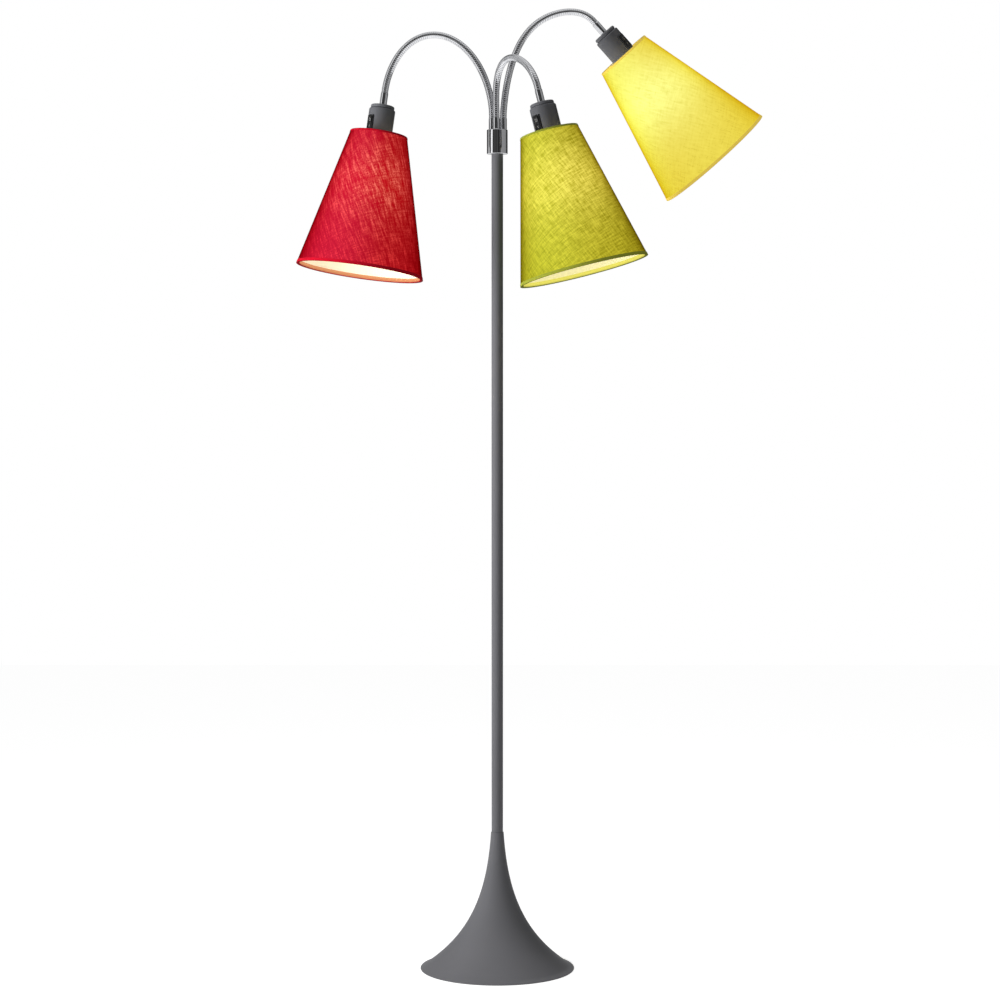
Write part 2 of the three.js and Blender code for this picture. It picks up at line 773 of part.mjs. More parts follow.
// The bulb's side from its lowest point up to its screw's end, at a depth under its skin.
function bulbSide(depth) {
  const screwEnd = bulbScrewTop - bulbScrewLength;
  const neckEnd = screwEnd - (bulbMiddle + screwEnd) * bulbNeckShare;
  const radius = bulbRadius - depth;
  const dome = Array.from({ length: bulbSteps }, (_, i) => {
    const angle = (1 - (i + 1) / bulbSteps) * (Math.PI / 2);
    return [radius * Math.cos(angle), -bulbMiddle - radius * Math.sin(angle)];
  });
  return [
    [0, -bulbMiddle - radius], ...dome,
    [(bulbScrewRadius + bulbRadius) / 2 - depth, (neckEnd - bulbMiddle) / 2],
    [bulbScrewRadius - depth, neckEnd], [bulbScrewRadius - depth, bulbScrewTop - depth],
  ];
}

// A thin hollow bulb, open through its contact.
function bulb() {
  const contactTop = bulbScrewTop + bulbContact;
  return turned([
    ...bulbSide(0), [bulbContactRadius, contactTop], [bulbOpening, contactTop],
    [bulbOpening, bulbScrewTop - bulbWall], ...bulbSide(bulbWall).reverse(),
  ], smallSides);
}

// Assembly

// The foot ferrule, gooseneck and leads of an arm, in the lamp's frame.
function armPieces(arm) {
  const { lower, upper, side } = neckLines(arm);
  const foot = footPlace(arm);
  const lowerTail = foot.clone().setZ(terminalTop + seatGap);
  const upperTail = new THREE.Vector3(0, 0, socketTop + seatGap).applyMatrix4(headFrame(arm));
  const neckFerrule = piece(
    `${arm.name}_foot_ferrule`, ferrule(ferruleRadius, ferruleLength, collarPlate), chrome,
  );
  neckFerrule.position.copy(foot.setZ(collarTop));
  return [
    neckFerrule,
    piece(`${arm.name}_gooseneck_lower`, ribbedHalf(lower, side), chrome),
    piece(`${arm.name}_gooseneck_upper`, ribbedHalf(upper, side), chrome),
    piece(`${arm.name}_lead_lower`, neckLead(lower, side, [lowerTail], []), leadWhite),
    piece(`${arm.name}_lead_upper`, neckLead(upper, side, [], [upperTail]), leadWhite),
  ];
}

// The lampholder, switch, bulb and shade of an arm, in a group that holds the head's frame.
function headGroup(arm) {
  const group = new THREE.Group();
  group.applyMatrix4(headFrame(arm));
  const plates = capTop - coverTop + coverPlate;
  const headFerrule = piece(
    `${arm.name}_head_ferrule`, ferrule(headFerruleRadius, headFerruleLength, plates), chrome,
  );
  headFerrule.position.z = capTop;
  const bottomRing = wireLoop(shadeHeight - wireRadius - seatGap);
  group.add(
    headFerrule,
    piece(`${arm.name}_holder_cap`, holderCap(), holderGrey),
    piece(`${arm.name}_holder_cover`, holderCover(arm), holderGrey),
    piece(`${arm.name}_socket`, socket(), ceramic),
    piece(`${arm.name}_shade_nut`, shadeNut(), holderGrey),
    piece(`${arm.name}_switch_housing`, switchHousing(arm), blackPlastic),
    piece(`${arm.name}_switch_rocker`, switchRocker(arm), blackPlastic),
    piece(`${arm.name}_shade`, shade(), { ...cloth, color: arm.colour }),
    piece(`${arm.name}_shade_fitter`, shadeFitter(), whiteWire),
    piece(`${arm.name}_shade_bottom_ring`, bottomRing, whiteWire),
    piece(`${arm.name}_bulb`, bulb(), opalGlass),
  );
  return group;
}

const lamp = new THREE.Group();
lamp.add(
  baseShell(), basePad(), baseWeight(), tieRod(), tieNut(), cableGrommet(),
  pole(), poleInsert(), poleLead(), collar(), collarScrew(), terminalBlock(),
);
arms.forEach((arm) => lamp.add(...armPieces(arm), headGroup(arm)));

export default lamp;
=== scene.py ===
"""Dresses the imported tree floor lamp: trumpet base, pole, collar, goosenecks, holders and shades.

Lengths are millimetres, as in the solids, and turn into metres when a mesh is made. A turned
outline that ends on the Z axis ends at the radius AXIS.
"""

import logging
import math
from dataclasses import dataclass, field
from enum import Enum
from typing import Optional, Sequence, Union

import bpy
import numpy as np
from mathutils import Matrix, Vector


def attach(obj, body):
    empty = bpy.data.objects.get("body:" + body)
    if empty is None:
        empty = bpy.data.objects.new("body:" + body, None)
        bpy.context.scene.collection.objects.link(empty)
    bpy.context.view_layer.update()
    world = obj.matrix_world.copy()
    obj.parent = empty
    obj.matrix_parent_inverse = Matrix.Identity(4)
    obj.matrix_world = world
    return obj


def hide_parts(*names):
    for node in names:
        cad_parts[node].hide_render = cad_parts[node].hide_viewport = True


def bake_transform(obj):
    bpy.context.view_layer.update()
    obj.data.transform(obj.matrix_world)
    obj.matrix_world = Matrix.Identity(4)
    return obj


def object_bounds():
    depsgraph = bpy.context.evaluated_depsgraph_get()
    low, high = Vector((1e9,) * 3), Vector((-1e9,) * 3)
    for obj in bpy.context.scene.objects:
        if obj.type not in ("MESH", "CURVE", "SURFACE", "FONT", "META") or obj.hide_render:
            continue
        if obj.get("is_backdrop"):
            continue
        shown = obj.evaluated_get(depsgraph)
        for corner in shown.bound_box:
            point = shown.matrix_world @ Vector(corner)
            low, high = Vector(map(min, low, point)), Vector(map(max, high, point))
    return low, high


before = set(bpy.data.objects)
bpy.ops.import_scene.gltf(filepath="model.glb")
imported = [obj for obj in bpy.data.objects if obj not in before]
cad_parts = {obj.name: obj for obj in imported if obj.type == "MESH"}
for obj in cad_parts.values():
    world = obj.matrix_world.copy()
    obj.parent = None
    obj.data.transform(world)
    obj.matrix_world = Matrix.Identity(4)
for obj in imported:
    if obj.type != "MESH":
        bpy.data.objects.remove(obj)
cad_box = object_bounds()

log = logging.getLogger("lamp")
Array = np.ndarray
Colour = tuple[float, float, float]
METRES = 0.001
TURN = 2 * math.pi
AXIS = 0.01


# Shapes


class Ends(Enum):
    """How the first and last row of a skin are closed."""

    OPEN = "open"
    DISC = "disc"
    LADDER = "ladder"


@dataclass
class Skin:
    """A grid of points, in millimetres, whose rows run along a piece and columns round it.

    places, and each entry of values, give a number or a vector to every point. weave gives the
    cloth's own coordinates at every corner, with one more row or column where the grid closes.
    """

    points: Array
    closed_rows: bool = False
    closed_columns: bool = True
    ends: Ends = Ends.DISC
    values: dict[str, Array] = field(default_factory=dict)
    weave: Optional[Array] = None

    def moved(self, place: "Placing") -> "Skin":
        """This skin, with its points moved."""
        self.points = place(self.points)
        return self

    def faces(self) -> tuple[Array, Array, list[Array]]:
        """Works out the vertices and faces.

        Returns:
            The vertices, the index of every vertex in the weave's grid, and one array of faces
            for the quads and one for the triangles, all facing outwards.
        """
        rows, columns = self.points.shape[:2]
        i, j = np.meshgrid(
            np.arange(rows - (not self.closed_rows)),
            np.arange(columns - (not self.closed_columns)),
            indexing="ij",
        )
        corners_i = np.stack([i, i, i + 1, i + 1], -1).reshape(-1, 4)
        corners_j = np.stack([j, j + 1, j + 1, j], -1).reshape(-1, 4)
        if self.ends is Ends.LADDER:
            rung = np.arange(columns // 2 - 1)
            rungs = np.stack([rung, columns - 1 - rung, columns - 2 - rung, rung + 1], -1)
            first, last = np.zeros_like(rungs), np.full_like(rungs, rows - 1)
            corners_i = np.concatenate([corners_i, first, last])
            corners_j = np.concatenate([corners_j, rungs, rungs[:, ::-1]])
        vertices = self.points.reshape(-1, 3)
        quads = (corners_i % rows) * columns + corners_j % columns
        grid = np.stack([corners_i, corners_j], -1)
        triangles = np.zeros((0, 3), int)
        if self.ends is Ends.DISC and not self.closed_rows:
            middles = self.points[[0, -1]].mean(1)
            ring = np.arange(columns)
            nextdoor = (ring + 1) % columns
            last = (rows - 1) * columns
            count = len(vertices)
            triangles = np.concatenate([
                np.stack([nextdoor, ring, np.full(columns, count)], -1),
                np.stack([last + ring, last + nextdoor, np.full(columns, count + 1)], -1),
            ])
            vertices = np.concatenate([vertices, middles])
        corners = [np.concatenate([quads[:, :3], quads[:, [0, 2, 3]], triangles])]
        a, b, c = (vertices[corners[0][:, k]] for k in range(3))
        if (a * np.cross(b, c)).sum() < 0:
            quads, grid, triangles = quads[:, ::-1], grid[:, ::-1], triangles[:, ::-1]
        return vertices, grid.reshape(-1, 2), [quads, triangles]


@dataclass
class Placing:
    """A turn and then a shift, in millimetres."""

    turn: Array = field(default_factory=lambda: np.eye(3))
    shift: Array = field(default_factory=lambda: np.zeros(3))

    def __call__(self, points: Array) -> Array:
        """Moves points from the piece's own frame to the lamp's."""
        return np.asarray(points, float) @ self.turn.T + self.shift

    def then(self, inner: "Placing") -> "Placing":
        """This placing applied to the result of another one."""
        return Placing(self.turn @ inner.turn, self(inner.shift))


def raised(height: float) -> Placing:
    """The placing that only lifts a piece."""
    return Placing(shift=np.array([0, 0, height]))


def turn_about(axis: int, degrees: float) -> Array:
    """The matrix that turns by an angle about the x, y or z axis, numbered 0, 1 and 2."""
    cosine, sine = math.cos(math.radians(degrees)), math.sin(math.radians(degrees))
    matrix = np.eye(3)
    first, second = (axis + 1) % 3, (axis + 2) % 3
    matrix[first, first] = matrix[second, second] = cosine
    matrix[second, first], matrix[first, second] = sine, -sine
    return matrix


def unit(vectors: Array) -> Array:
    """Vectors brought to length one."""
    return vectors / np.maximum(np.linalg.norm(vectors, axis=-1, keepdims=True), 1e-12)


def eased(share: Array) -> Array:
    """A share from 0 to 1 that starts and ends gently: 3 s squared less 2 s cubed."""
    share = np.clip(share, 0, 1)
    return share * share * (3 - 2 * share)


def full_turn(count: int) -> Array:
    """Even angles round a full turn."""
    return np.arange(count) / count * TURN


def around(radius: Array, angle: Array, height: Array) -> Array:
    """Points at a radius and an angle about the Z axis and a height, all broadcast together."""
    points = radius * np.cos(angle), radius * np.sin(angle), height
    return np.stack(np.broadcast_arrays(*points), -1)


def bezier(handles: Sequence[Array], share: Array) -> Array:
    """A Bezier curve: the sum of its handles, weighted by the Bernstein shares of a share s.

    Args:
        handles: its start, the handles between and its end.
        share: the shares, from 0 to 1, in a column.

    Returns:
        Its points.
    """
    degree = len(handles) - 1
    return sum(
        math.comb(degree, k) * (1 - share) ** (degree - k) * share ** k * handle
        for k, handle in enumerate(handles)
    )


def rounded(corners: Sequence, radii: Sequence[float], closed: bool, steps: int = 6) -> Array:
    """An outline with its corners rounded.

    Each corner's arc touches both sides at radius / tan(half the corner's angle) from the
    corner, and its points turn evenly about its middle from the one side to the other.

    Args:
        corners: the outline's corners, as [across, along] points.
        radii: the radius at each corner; 0 keeps it sharp.
        closed: whether the last corner joins the first.
        steps: points on each arc.

    Returns:
        The points of the outline.
    """
    point = np.array(corners, float)
    back, ahead = np.roll(point, 1, 0) - point, np.roll(point, -1, 0) - point
    room = np.minimum(np.linalg.norm(back, axis=1), np.linalg.norm(ahead, axis=1)) / 2.02
    back, ahead = unit(back), unit(ahead)
    half = np.arccos(np.clip((back * ahead).sum(1), -0.99999, 0.99999)) / 2
    radius = np.minimum(np.array(radii, float), room * np.tan(half))
    if not closed:
        radius[[0, -1]] = 0
    middle = point + unit(back + ahead) * (radius / np.sin(half))[:, None]
    start = point + back * (radius / np.tan(half))[:, None] - middle
    end = point + ahead * (radius / np.tan(half))[:, None] - middle
    turn = (math.pi - 2 * half)[:, None, None]
    share = np.linspace(0, 1, steps)[None, :, None]
    arc = np.sin((1 - share) * turn) * start[:, None] + np.sin(share * turn) * end[:, None]
    line = (middle[:, None] + arc / np.sin(turn)).reshape(-1, 2)
    apart = np.linalg.norm(line - np.roll(line, 1, 0), axis=1) > 1e-6
    apart[0] |= not closed
    return line[apart]


def turned(outline: Array, sides: int, closed: bool = True) -> Skin:
    """A turned piece: each [radius, height] point goes once round the Z axis.

    Args:
        outline: the points, which close on themselves, or start and end on the axis.
        sides: columns round the axis.
        closed: whether the outline closes on itself; otherwise its ends are closed by discs.

    Returns:
        The skin, with a row for each point of the outline.
    """
    points = around(outline[:, 0, None], full_turn(sides), outline[:, 1, None])
    return Skin(points, closed_rows=closed)


def lathed(corners: Sequence, radii: Sequence[float], sides: int, closed: bool = True,
           steps: int = 6) -> Skin:
    """A turned piece whose outline has rounded corners; see rounded and turned."""
    return turned(rounded(corners, radii, closed, steps), sides, closed)


def rod(radius: float, start: float, end: float, sides: int) -> Skin:
    """A plain rod about the Z axis, from one height to another."""
    outline = [[AXIS, start], [radius, start], [radius, end], [AXIS, end]]
    return turned(np.array(outline), sides, closed=False)


@dataclass
class Line:
    """A smooth line through space, as many points with the way along it at each."""

    points: Array
    along: Array
    length: Array

    @classmethod
    def through(cls, points: Array) -> "Line":
        """The line through points that lie close together."""
        steps = np.linalg.norm(np.diff(points, axis=0), axis=1)
        return cls(points, unit(np.gradient(points, axis=0)), np.r_[0, np.cumsum(steps)])

    def spaced(self, count: int, start: Optional[float] = None,
               end: Optional[float] = None) -> "Line":
        """The line, or the stretch of it between two lengths, with evenly spaced points."""
        start = self.length[0] if start is None else start
        end = self.length[-1] if end is None else end
        at = np.linspace(start, end, count)
        even = [np.interp(at, self.length, self.points[:, k]) for k in range(3)]
        ways = [np.interp(at, self.length, self.along[:, k]) for k in range(3)]
        return Line(np.stack(even, -1), unit(np.stack(ways, -1)), at)


def swept(line: Line, side: Array, radius: Union[float, Array], sides: int) -> Skin:
    """A tube along a line: radius * (cos a * across + sin a * other) about each of its points.

    Args:
        line: the middle line.
        side: a direction that the line never follows, which keeps the tube from twisting.
        radius: one radius, or one for each point of the line and each side.
        sides: columns round the line.

    Returns:
        The skin. Its value "place" unrolls the tube: x and y round it, z along it, in metres.
    """
    across = unit(side - line.along * (line.along @ side)[:, None])
    other = np.cross(line.along, across)
    angle = full_turn(sides)
    reach = np.broadcast_to(radius, (len(line.points), sides))
    outwards = (
        np.cos(angle)[None, :, None] * across[:, None]
        + np.sin(angle)[None, :, None] * other[:, None]
    )
    skin = Skin(line.points[:, None] + reach[..., None] * outwards)
    skin.values["place"] = around(reach, angle, line.length[:, None]) * METRES
    return skin


Ring = tuple[float, float, float, float]


def loft(rings: Sequence[Ring]) -> Skin:
    """A stack of rounded rectangles across the Y axis.

    A ring's point is its corner's middle plus corner * (cos a, sin a), four corners in turn.

    Args:
        rings: half width along X, half height along Z, corner radius and place along Y.

    Returns:
        The skin, with a row for each ring.
    """
    width, height, corner, depth = (np.array(rings, float)[:, k, None] for k in range(4))
    steps = 6
    angle = ((np.arange(4)[:, None] + np.linspace(0, 1, steps)) * TURN / 4).ravel()
    sign_x = np.repeat([1, -1, -1, 1], steps)
    sign_z = np.repeat([1, 1, -1, -1], steps)
    points = np.stack([
        sign_x * (width - corner) + corner * np.cos(angle),
        depth + 0 * angle,
        sign_z * (height - corner) + corner * np.sin(angle),
    ], -1)
    return Skin(points)


def edged(width: float, height: float, corner: float, place: float, edge: float,
          steps: int) -> list[Ring]:
    """A loft's rings over a rounded edge: in by edge (1 - cos a), and on by edge (1 - sin a)."""
    return [
        (width - edge * (1 - math.cos(a)), height - edge * (1 - math.cos(a)), corner,
         place + edge * (1 - math.sin(a)))
        for a in np.linspace(0, math.pi / 2, steps)
    ]


# Meshes and pieces


def make_mesh(name: str, skins: Sequence[Skin], place: Placing, sharp: float) -> bpy.types.Object:
    """Turns skins into one object, in metres, at the origin.

    Args:
        name: the object's name.
        skins: its parts.
        place: where they go in the lamp's frame.
        sharp: edges that turn by more than this many degrees stay sharp.

    Returns:
        The linked object.
    """
    vertices, loops, starts, weaves, values = [], [], [], [], {}
    count = total = 0
    for skin in skins:
        points, grid, faces = skin.faces()
        for group in faces:
            loops.append(group.ravel() + count)
            starts.append(np.arange(len(group)) * group.shape[1] + total)
            total += group.size
        if skin.weave is not None:
            corners = skin.weave[grid[:, 0], grid[:, 1]]
            weaves.append(np.concatenate([corners, np.zeros((faces[1].size, 2))]))
        for key, value in skin.values.items():
            flat = value.reshape(len(skin.points.reshape(-1, 3)), -1)
            spare = np.repeat(flat.mean(0)[None], len(points) - len(flat), 0)
            values.setdefault(key, []).append(np.concatenate([flat, spare]))
        vertices.append(place(points) * METRES)
        count += len(points)
    mesh = bpy.data.meshes.new(name)
    mesh.vertices.add(count)
    mesh.vertices.foreach_set("co", np.concatenate(vertices).astype(np.float32).ravel())
    mesh.loops.add(total)
    mesh.loops.foreach_set("vertex_index", np.concatenate(loops).astype(np.int32))
    start = np.concatenate(starts).astype(np.int32)
    mesh.polygons.add(len(start))
    mesh.polygons.foreach_set("loop_start", start)
    mesh.polygons.foreach_set("use_smooth", np.ones(len(start), bool))
    if weaves:
        layer = mesh.uv_layers.new(name="weave", do_init=False)
        layer.uv.foreach_set("vector", np.concatenate(weaves).astype(np.float32).ravel())
    for key, parts in values.items():
        data = np.concatenate(parts).astype(np.float32)
        kind, slot = ("FLOAT", "value") if data.shape[1] == 1 else ("FLOAT_VECTOR", "vector")
        mesh.attributes.new(key, kind, "POINT").data.foreach_set(slot, data.ravel())
    mesh.update(calc_edges=True)
    mesh.set_sharp_from_angle(angle=math.radians(sharp))
    made = bpy.data.objects.new(name, mesh)
    bpy.context.scene.collection.objects.link(made)
    return made


def cut_away(made: bpy.types.Object, cutter: bpy.types.Object, sharp: float) -> None:
    """Takes a cutter's solid out of an object, and removes the cutter."""
    modifier = made.modifiers.new("cut", "BOOLEAN")
    modifier.operation = "DIFFERENCE"
    modifier.solver = "EXACT"
    modifier.object = cutter
    bpy.context.view_layer.update()
    seen = made.evaluated_get(bpy.context.evaluated_depsgraph_get())
    mesh = bpy.data.meshes.new_from_object(seen)
    made.modifiers.clear()
    old, made.data = made.data, mesh
    mesh.name = made.name
    mesh.set_sharp_from_angle(angle=math.radians(sharp))
    bpy.data.meshes.remove(old)
    bpy.data.objects.remove(cutter)


class Slot(Enum):
    """The record's material slots."""

    GREY_PAINT = "grey_paint"
    CHROME = "chrome"
    CAST_IRON = "cast_iron"
    STEEL = "steel"
    DARK_RUBBER = "dark_rubber"
    HOLDER_GREY = "holder_grey"
    BLACK_PLASTIC = "black_plastic"
    CERAMIC = "ceramic"
    OPAL_GLASS = "opal_glass"
    RING_WIRE = "ring_wire"
    LEAD_SHEATH = "lead_sheath"
    RED_CLOTH = "red_cloth"
    GREEN_CLOTH = "green_cloth"
    YELLOW_CLOTH = "yellow_cloth"


def make_piece(
    name: str,
    skins: Sequence[Skin],
    finish: "Finish",
    replaces: Sequence[str] = (),
    body: Optional[str] = None,
    place: Optional[Placing] = None,
    sharp: float = 35,
    cutters: Sequence[Skin] = (),
) -> bpy.types.Object:
    """Makes a piece, dresses it and hands it to the body that carries it.

    Args:
        name: the piece's name.
        skins: its parts, in its own frame.
        finish: what it is made of.
        replaces: the CAD nodes that it stands for.
        body: the body that carries it, or None for a piece that no body carries.
        place: where it goes.
        sharp: edges that turn by more than this many degrees stay sharp.
        cutters: solids that are cut away from it.

    Returns:
        The finished object.
    """
    place = place or Placing()
    made = make_mesh(name, skins, place, sharp)
    for number, cutter in enumerate(cutters):
        cut_away(made, make_mesh(f"{name}_cutter{number}", [cutter], place, sharp), sharp)
    made.data.materials.clear()
    made.data.materials.append(finish.material())
    if replaces:
        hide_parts(*replaces)
    if body:
        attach(made, body)
    log.info("%s: %d faces", name, len(made.data.polygons))
    return made


def shine_on(name: str, lamps: Sequence[bpy.types.Object],
             lit: Sequence[bpy.types.Object]) -> None:
    """Lets glowing pieces light only the pieces given.

    Args:
        name: name of the group of the lit pieces.
        lamps: the glowing pieces.
        lit: the pieces that catch their light.
    """
    group = bpy.data.collections.new(name)
    for piece in lit:
        group.objects.link(piece)
    for piece in lamps:
        piece.light_linking.receiver_collection = group


def dress_node(node: str, finish: "Finish") -> None:
    """Gives a CAD node that stays a finish of its own."""
    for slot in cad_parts[node].material_slots:
        slot.material = finish.material()
    log.info("%s: dressed", node)


# Shader maths


def linear(red: float, green: float, blue: float) -> tuple[float, float, float, float]:
    """A colour written as 0 to 255, as light."""
    share = np.array([red, green, blue]) / 255
    light = np.where(share <= 0.04045, share / 12.92, ((share + 0.055) / 1.055) ** 2.4)
    return (*map(float, light), 1.0)


def grey(level: float) -> tuple[float, float, float, float]:
    """A grey, as light."""
    return (level, level, level, 1)


def tinted(colour: Colour, share: float) -> tuple[float, float, float, float]:
    """A share of a colour written as 0 to 255, as light."""
    return linear(*(channel * share for channel in colour))


class Value:
    """A shader socket that takes part in Python expressions."""

    def __init__(self, nodes: "Nodes", socket: bpy.types.NodeSocket) -> None:
        self.nodes = nodes
        self.socket = socket

    def _maths(self, operation: str, *others: object) -> "Value":
        """A Math node on this value and the others."""
        return self.nodes.maths(operation, self, *others)

    def __add__(self, other: object) -> "Value":
        """Sum."""
        return self._maths("ADD", other)

    __radd__ = __add__

    def __sub__(self, other: object) -> "Value":
        """Difference."""
        return self._maths("SUBTRACT", other)

    def __rsub__(self, other: object) -> "Value":
        """Difference, the other way round."""
        return self.nodes.maths("SUBTRACT", other, self)

    def __mul__(self, other: object) -> "Value":
        """Product."""
        return self._maths("MULTIPLY", other)

    __rmul__ = __mul__

    def __truediv__(self, other: object) -> "Value":
        """Quotient."""
        return self._maths("DIVIDE", other)

    def clamped(self) -> "Value":
        """The value held between 0 and 1."""
        return self._maths("MINIMUM", 1)._maths("MAXIMUM", 0)


class Nodes:
    """A material's or world's nodes, added by plain calls."""

    def __init__(self, tree: bpy.types.NodeTree) -> None:
        self.tree = tree
        tree.nodes.clear()

    def add(
        self,
        kind: str,
        settings: Optional[dict] = None,
        sockets: Optional[dict] = None,
        out: Union[int, str] = 0,
        stops: Sequence[tuple[float, Sequence[float]]] = (),
    ) -> Value:
        """Adds a node.

        Args:
            kind: the node's type, without its ShaderNode beginning.
            settings: its settings, set first.
            sockets: values or links for its inputs, by name or number.
            out: the output that is wanted.
            stops: a ramp's stops, as place and colour.

        Returns:
            That output.
        """
        node = self.tree.nodes.new("ShaderNode" + kind)
        for key, value in (settings or {}).items():
            setattr(node, key, value)
        if stops:
            points = node.color_ramp.elements
            while len(points) < len(stops):
                points.new(0.5)
            for point, (place, colour) in zip(points, stops):
                point.position = place
                point.color = colour
        for key, value in (sockets or {}).items():
            if isinstance(value, Value):
                self.tree.links.new(value.socket, node.inputs[key])
            else:
                node.inputs[key].default_value = value
        return Value(self, node.outputs[out])

    def surface(self, kind: str, shader: Value) -> None:
        """Adds an output node and links its surface."""
        node = self.tree.nodes.new("ShaderNode" + kind)
        self.tree.links.new(shader.socket, node.inputs["Surface"])

    def maths(self, operation: str, *values: object) -> Value:
        """A Math node."""
        return self.add("Math", {"operation": operation}, dict(enumerate(values)))

    def mixed(self, factor: object, first: object, second: object, blend: str = "MIX") -> Value:
        """A colour between two others."""
        settings = {"data_type": "RGBA", "blend_type": blend}
        return self.add("Mix", settings, {0: factor, 6: first, 7: second}, out=2)

    def scaled(self, colour: object, factor: object) -> Value:
        """A colour or vector times a number."""
        return self.add("VectorMath", {"operation": "SCALE"}, {0: colour, "Scale": factor})

    def between(self, value: Value, low: float, high: float) -> Value:
        """A value that runs from 0 to 1 between two limits, held at both."""
        return ((value - low) / (high - low)).clamped()

    def object_place(self) -> Value:
        """The place on the object."""
        return self.add("TexCoord", out="Object")

    def weave_place(self) -> Value:
        """The place on the flat cloth, in metres."""
        return self.add("UVMap", {"uv_map": "weave"})

    def parts(self, vector: Value, count: int) -> list[Value]:
        """The first parts of a vector."""
        return [self.add("SeparateXYZ", {}, {0: vector}, out=k) for k in range(count)]

    def rays(self, *kinds: str) -> Value:
        """1 for a ray of any of the kinds named, and 0 for others."""
        found = [self.add("LightPath", out=f"Is {kind} Ray") for kind in kinds]
        return sum(found[1:], found[0]).clamped()

    def attribute(self, name: str, out: str = "Fac") -> Value:
        """A value that the mesh carries."""
        return self.add("Attribute", {"attribute_name": name}, out=out)

    def noise(self, place: Value, scale: float, detail: float, rough: float = 0.5) -> Value:
        """Cloudy noise about one half; scale is in lumps a metre."""
        sockets = {"Vector": place, "Scale": scale, "Detail": detail, "Roughness": rough}
        return self.add("TexNoise", {}, sockets)

    def stretched(self, place: Value, scale: Sequence[float]) -> Value:
        """A place with each of its axes scaled."""
        return self.add("Mapping", {}, {"Vector": place, "Scale": tuple(scale)})

    def bump(self, height: Value, distance: float, strength: float) -> Value:
        """A normal that follows a height of 0 to 1; distance is in metres."""
        sockets = {"Height": height, "Distance": distance, "Strength": strength}
        return self.add("Bump", {}, sockets)


# Finishes


@dataclass(frozen=True)
class Finish:
    """Something that a piece is made of, whose material is built once, and the record's slot."""

    name: str
    slot: Slot

    def material(self) -> bpy.types.Material:
        """The finish's material."""
        found = bpy.data.materials.get(self.name)
        if found:
            return found
        made = bpy.data.materials.new(self.name)
        made.use_nodes = True
        nodes = Nodes(made.node_tree)
        nodes.surface("OutputMaterial", nodes.add("BsdfPrincipled", {}, self.sockets(nodes)))
        return made

    def sockets(self, nodes: Nodes) -> dict:
        """The values and links of the shader's sockets."""
        raise NotImplementedError


@dataclass(frozen=True)
class SatinPaint(Finish):
    """Sprayed satin paint: faint cloudiness, and the fine orange peel of sprayed metal."""

    colour: Colour = (127, 127, 131)
    rough: float = 0.5

    def sockets(self, nodes: Nodes) -> dict:
        """See Finish."""
        place = nodes.object_place()
        cloud = nodes.noise(place, 9, 3)
        peel = nodes.noise(place, 1100, 2, 0.6)
        shade = nodes.between(cloud * 0.7 + peel * 0.3, 0.25, 0.75)
        red, green, blue = self.colour
        light = linear(red * 1.03, green * 1.03, blue * 1.035)
        return {
            "Base Color": nodes.mixed(shade, tinted(self.colour, 0.965), light),
            "Roughness": self.rough - 0.05 + 0.1 * peel,
            "Specular IOR Level": 0.3,
            "Normal": nodes.bump(peel, 0.00003, 0.6),
        }


@dataclass(frozen=True)
class MouldedPlastic(Finish):
    """Moulded plastic with a fine etched grain."""

    colour: Colour = (110, 111, 116)
    rough: float = 0.42
    grain: float = 0.00003
    shine: float = 0.4

    def sockets(self, nodes: Nodes) -> dict:
        """See Finish."""
        place = nodes.object_place()
        grain = nodes.noise(place, 2600, 2, 0.6)
        cloud = nodes.noise(place, 30, 2)
        dark, light = tinted(self.colour, 0.95), tinted(self.colour, 1.05)
        return {
            "Base Color": nodes.mixed(nodes.between(cloud, 0.3, 0.7), dark, light),
            "Roughness": self.rough - 0.06 + 0.12 * grain,
            "Specular IOR Level": self.shine,
            "Normal": nodes.bump(grain, self.grain, 0.5),
        }


@dataclass(frozen=True)
class PlatedMetal(Finish):
    """Bright or brushed metal: hairline scratches and faint smears in its gloss."""

    colour: Colour = (228, 229, 232)
    rough: float = 0.06
    brushed: float = 0.05

    def sockets(self, nodes: Nodes) -> dict:
        """See Finish."""
        place = nodes.object_place()
        lines = nodes.noise(nodes.stretched(place, (60, 60, 2400)), 1, 3, 0.7)
        smear = nodes.between(nodes.noise(place, 45, 3), 0.35, 0.75)
        dark, light = tinted(self.colour, 0.93), linear(*self.colour)
        return {
            "Base Color": nodes.mixed(nodes.between(lines, 0.3, 0.7), dark, light),
            "Metallic": 1.0,
            "Roughness": self.rough + smear * 0.03 + lines * self.brushed,
        }


@dataclass(frozen=True)
class RibbedChrome(Finish):
    """The gooseneck's wound chrome wire: bright crests, and grooves painted near black as shade."""

    def sockets(self, nodes: Nodes) -> dict:
        """See Finish."""
        groove = nodes.attribute("groove")
        place = nodes.attribute("place", "Vector")
        smear = nodes.between(nodes.noise(place, 160, 2), 0.3, 0.7)
        crest = nodes.mixed(smear, linear(222, 223, 227), linear(238, 239, 242))
        return {
            # Painted shade: the grooves between the turns are near black and not metal, so they
            # read as shadowed.
            "Base Color": nodes.mixed(groove, crest, linear(12, 12, 13)),
            "Metallic": 1 - groove,
            "Roughness": 0.07 + smear * 0.04 + groove * 0.4,
        }


@dataclass(frozen=True)
class CastIron(Finish):
    """Rough sand casting."""

    def sockets(self, nodes: Nodes) -> dict:
        """See Finish."""
        place = nodes.object_place()
        sand = nodes.noise(place, 900, 4, 0.6)
        patch = nodes.noise(place, 40, 3)
        shade = nodes.between(sand * 0.6 + patch * 0.4, 0.3, 0.7)
        return {
            "Base Color": nodes.mixed(shade, linear(36, 35, 34), linear(58, 56, 55)),
            "Metallic": 0.6,
            "Roughness": 0.7 + 0.2 * patch,
            "Normal": nodes.bump(sand, 0.0004, 0.8),
        }


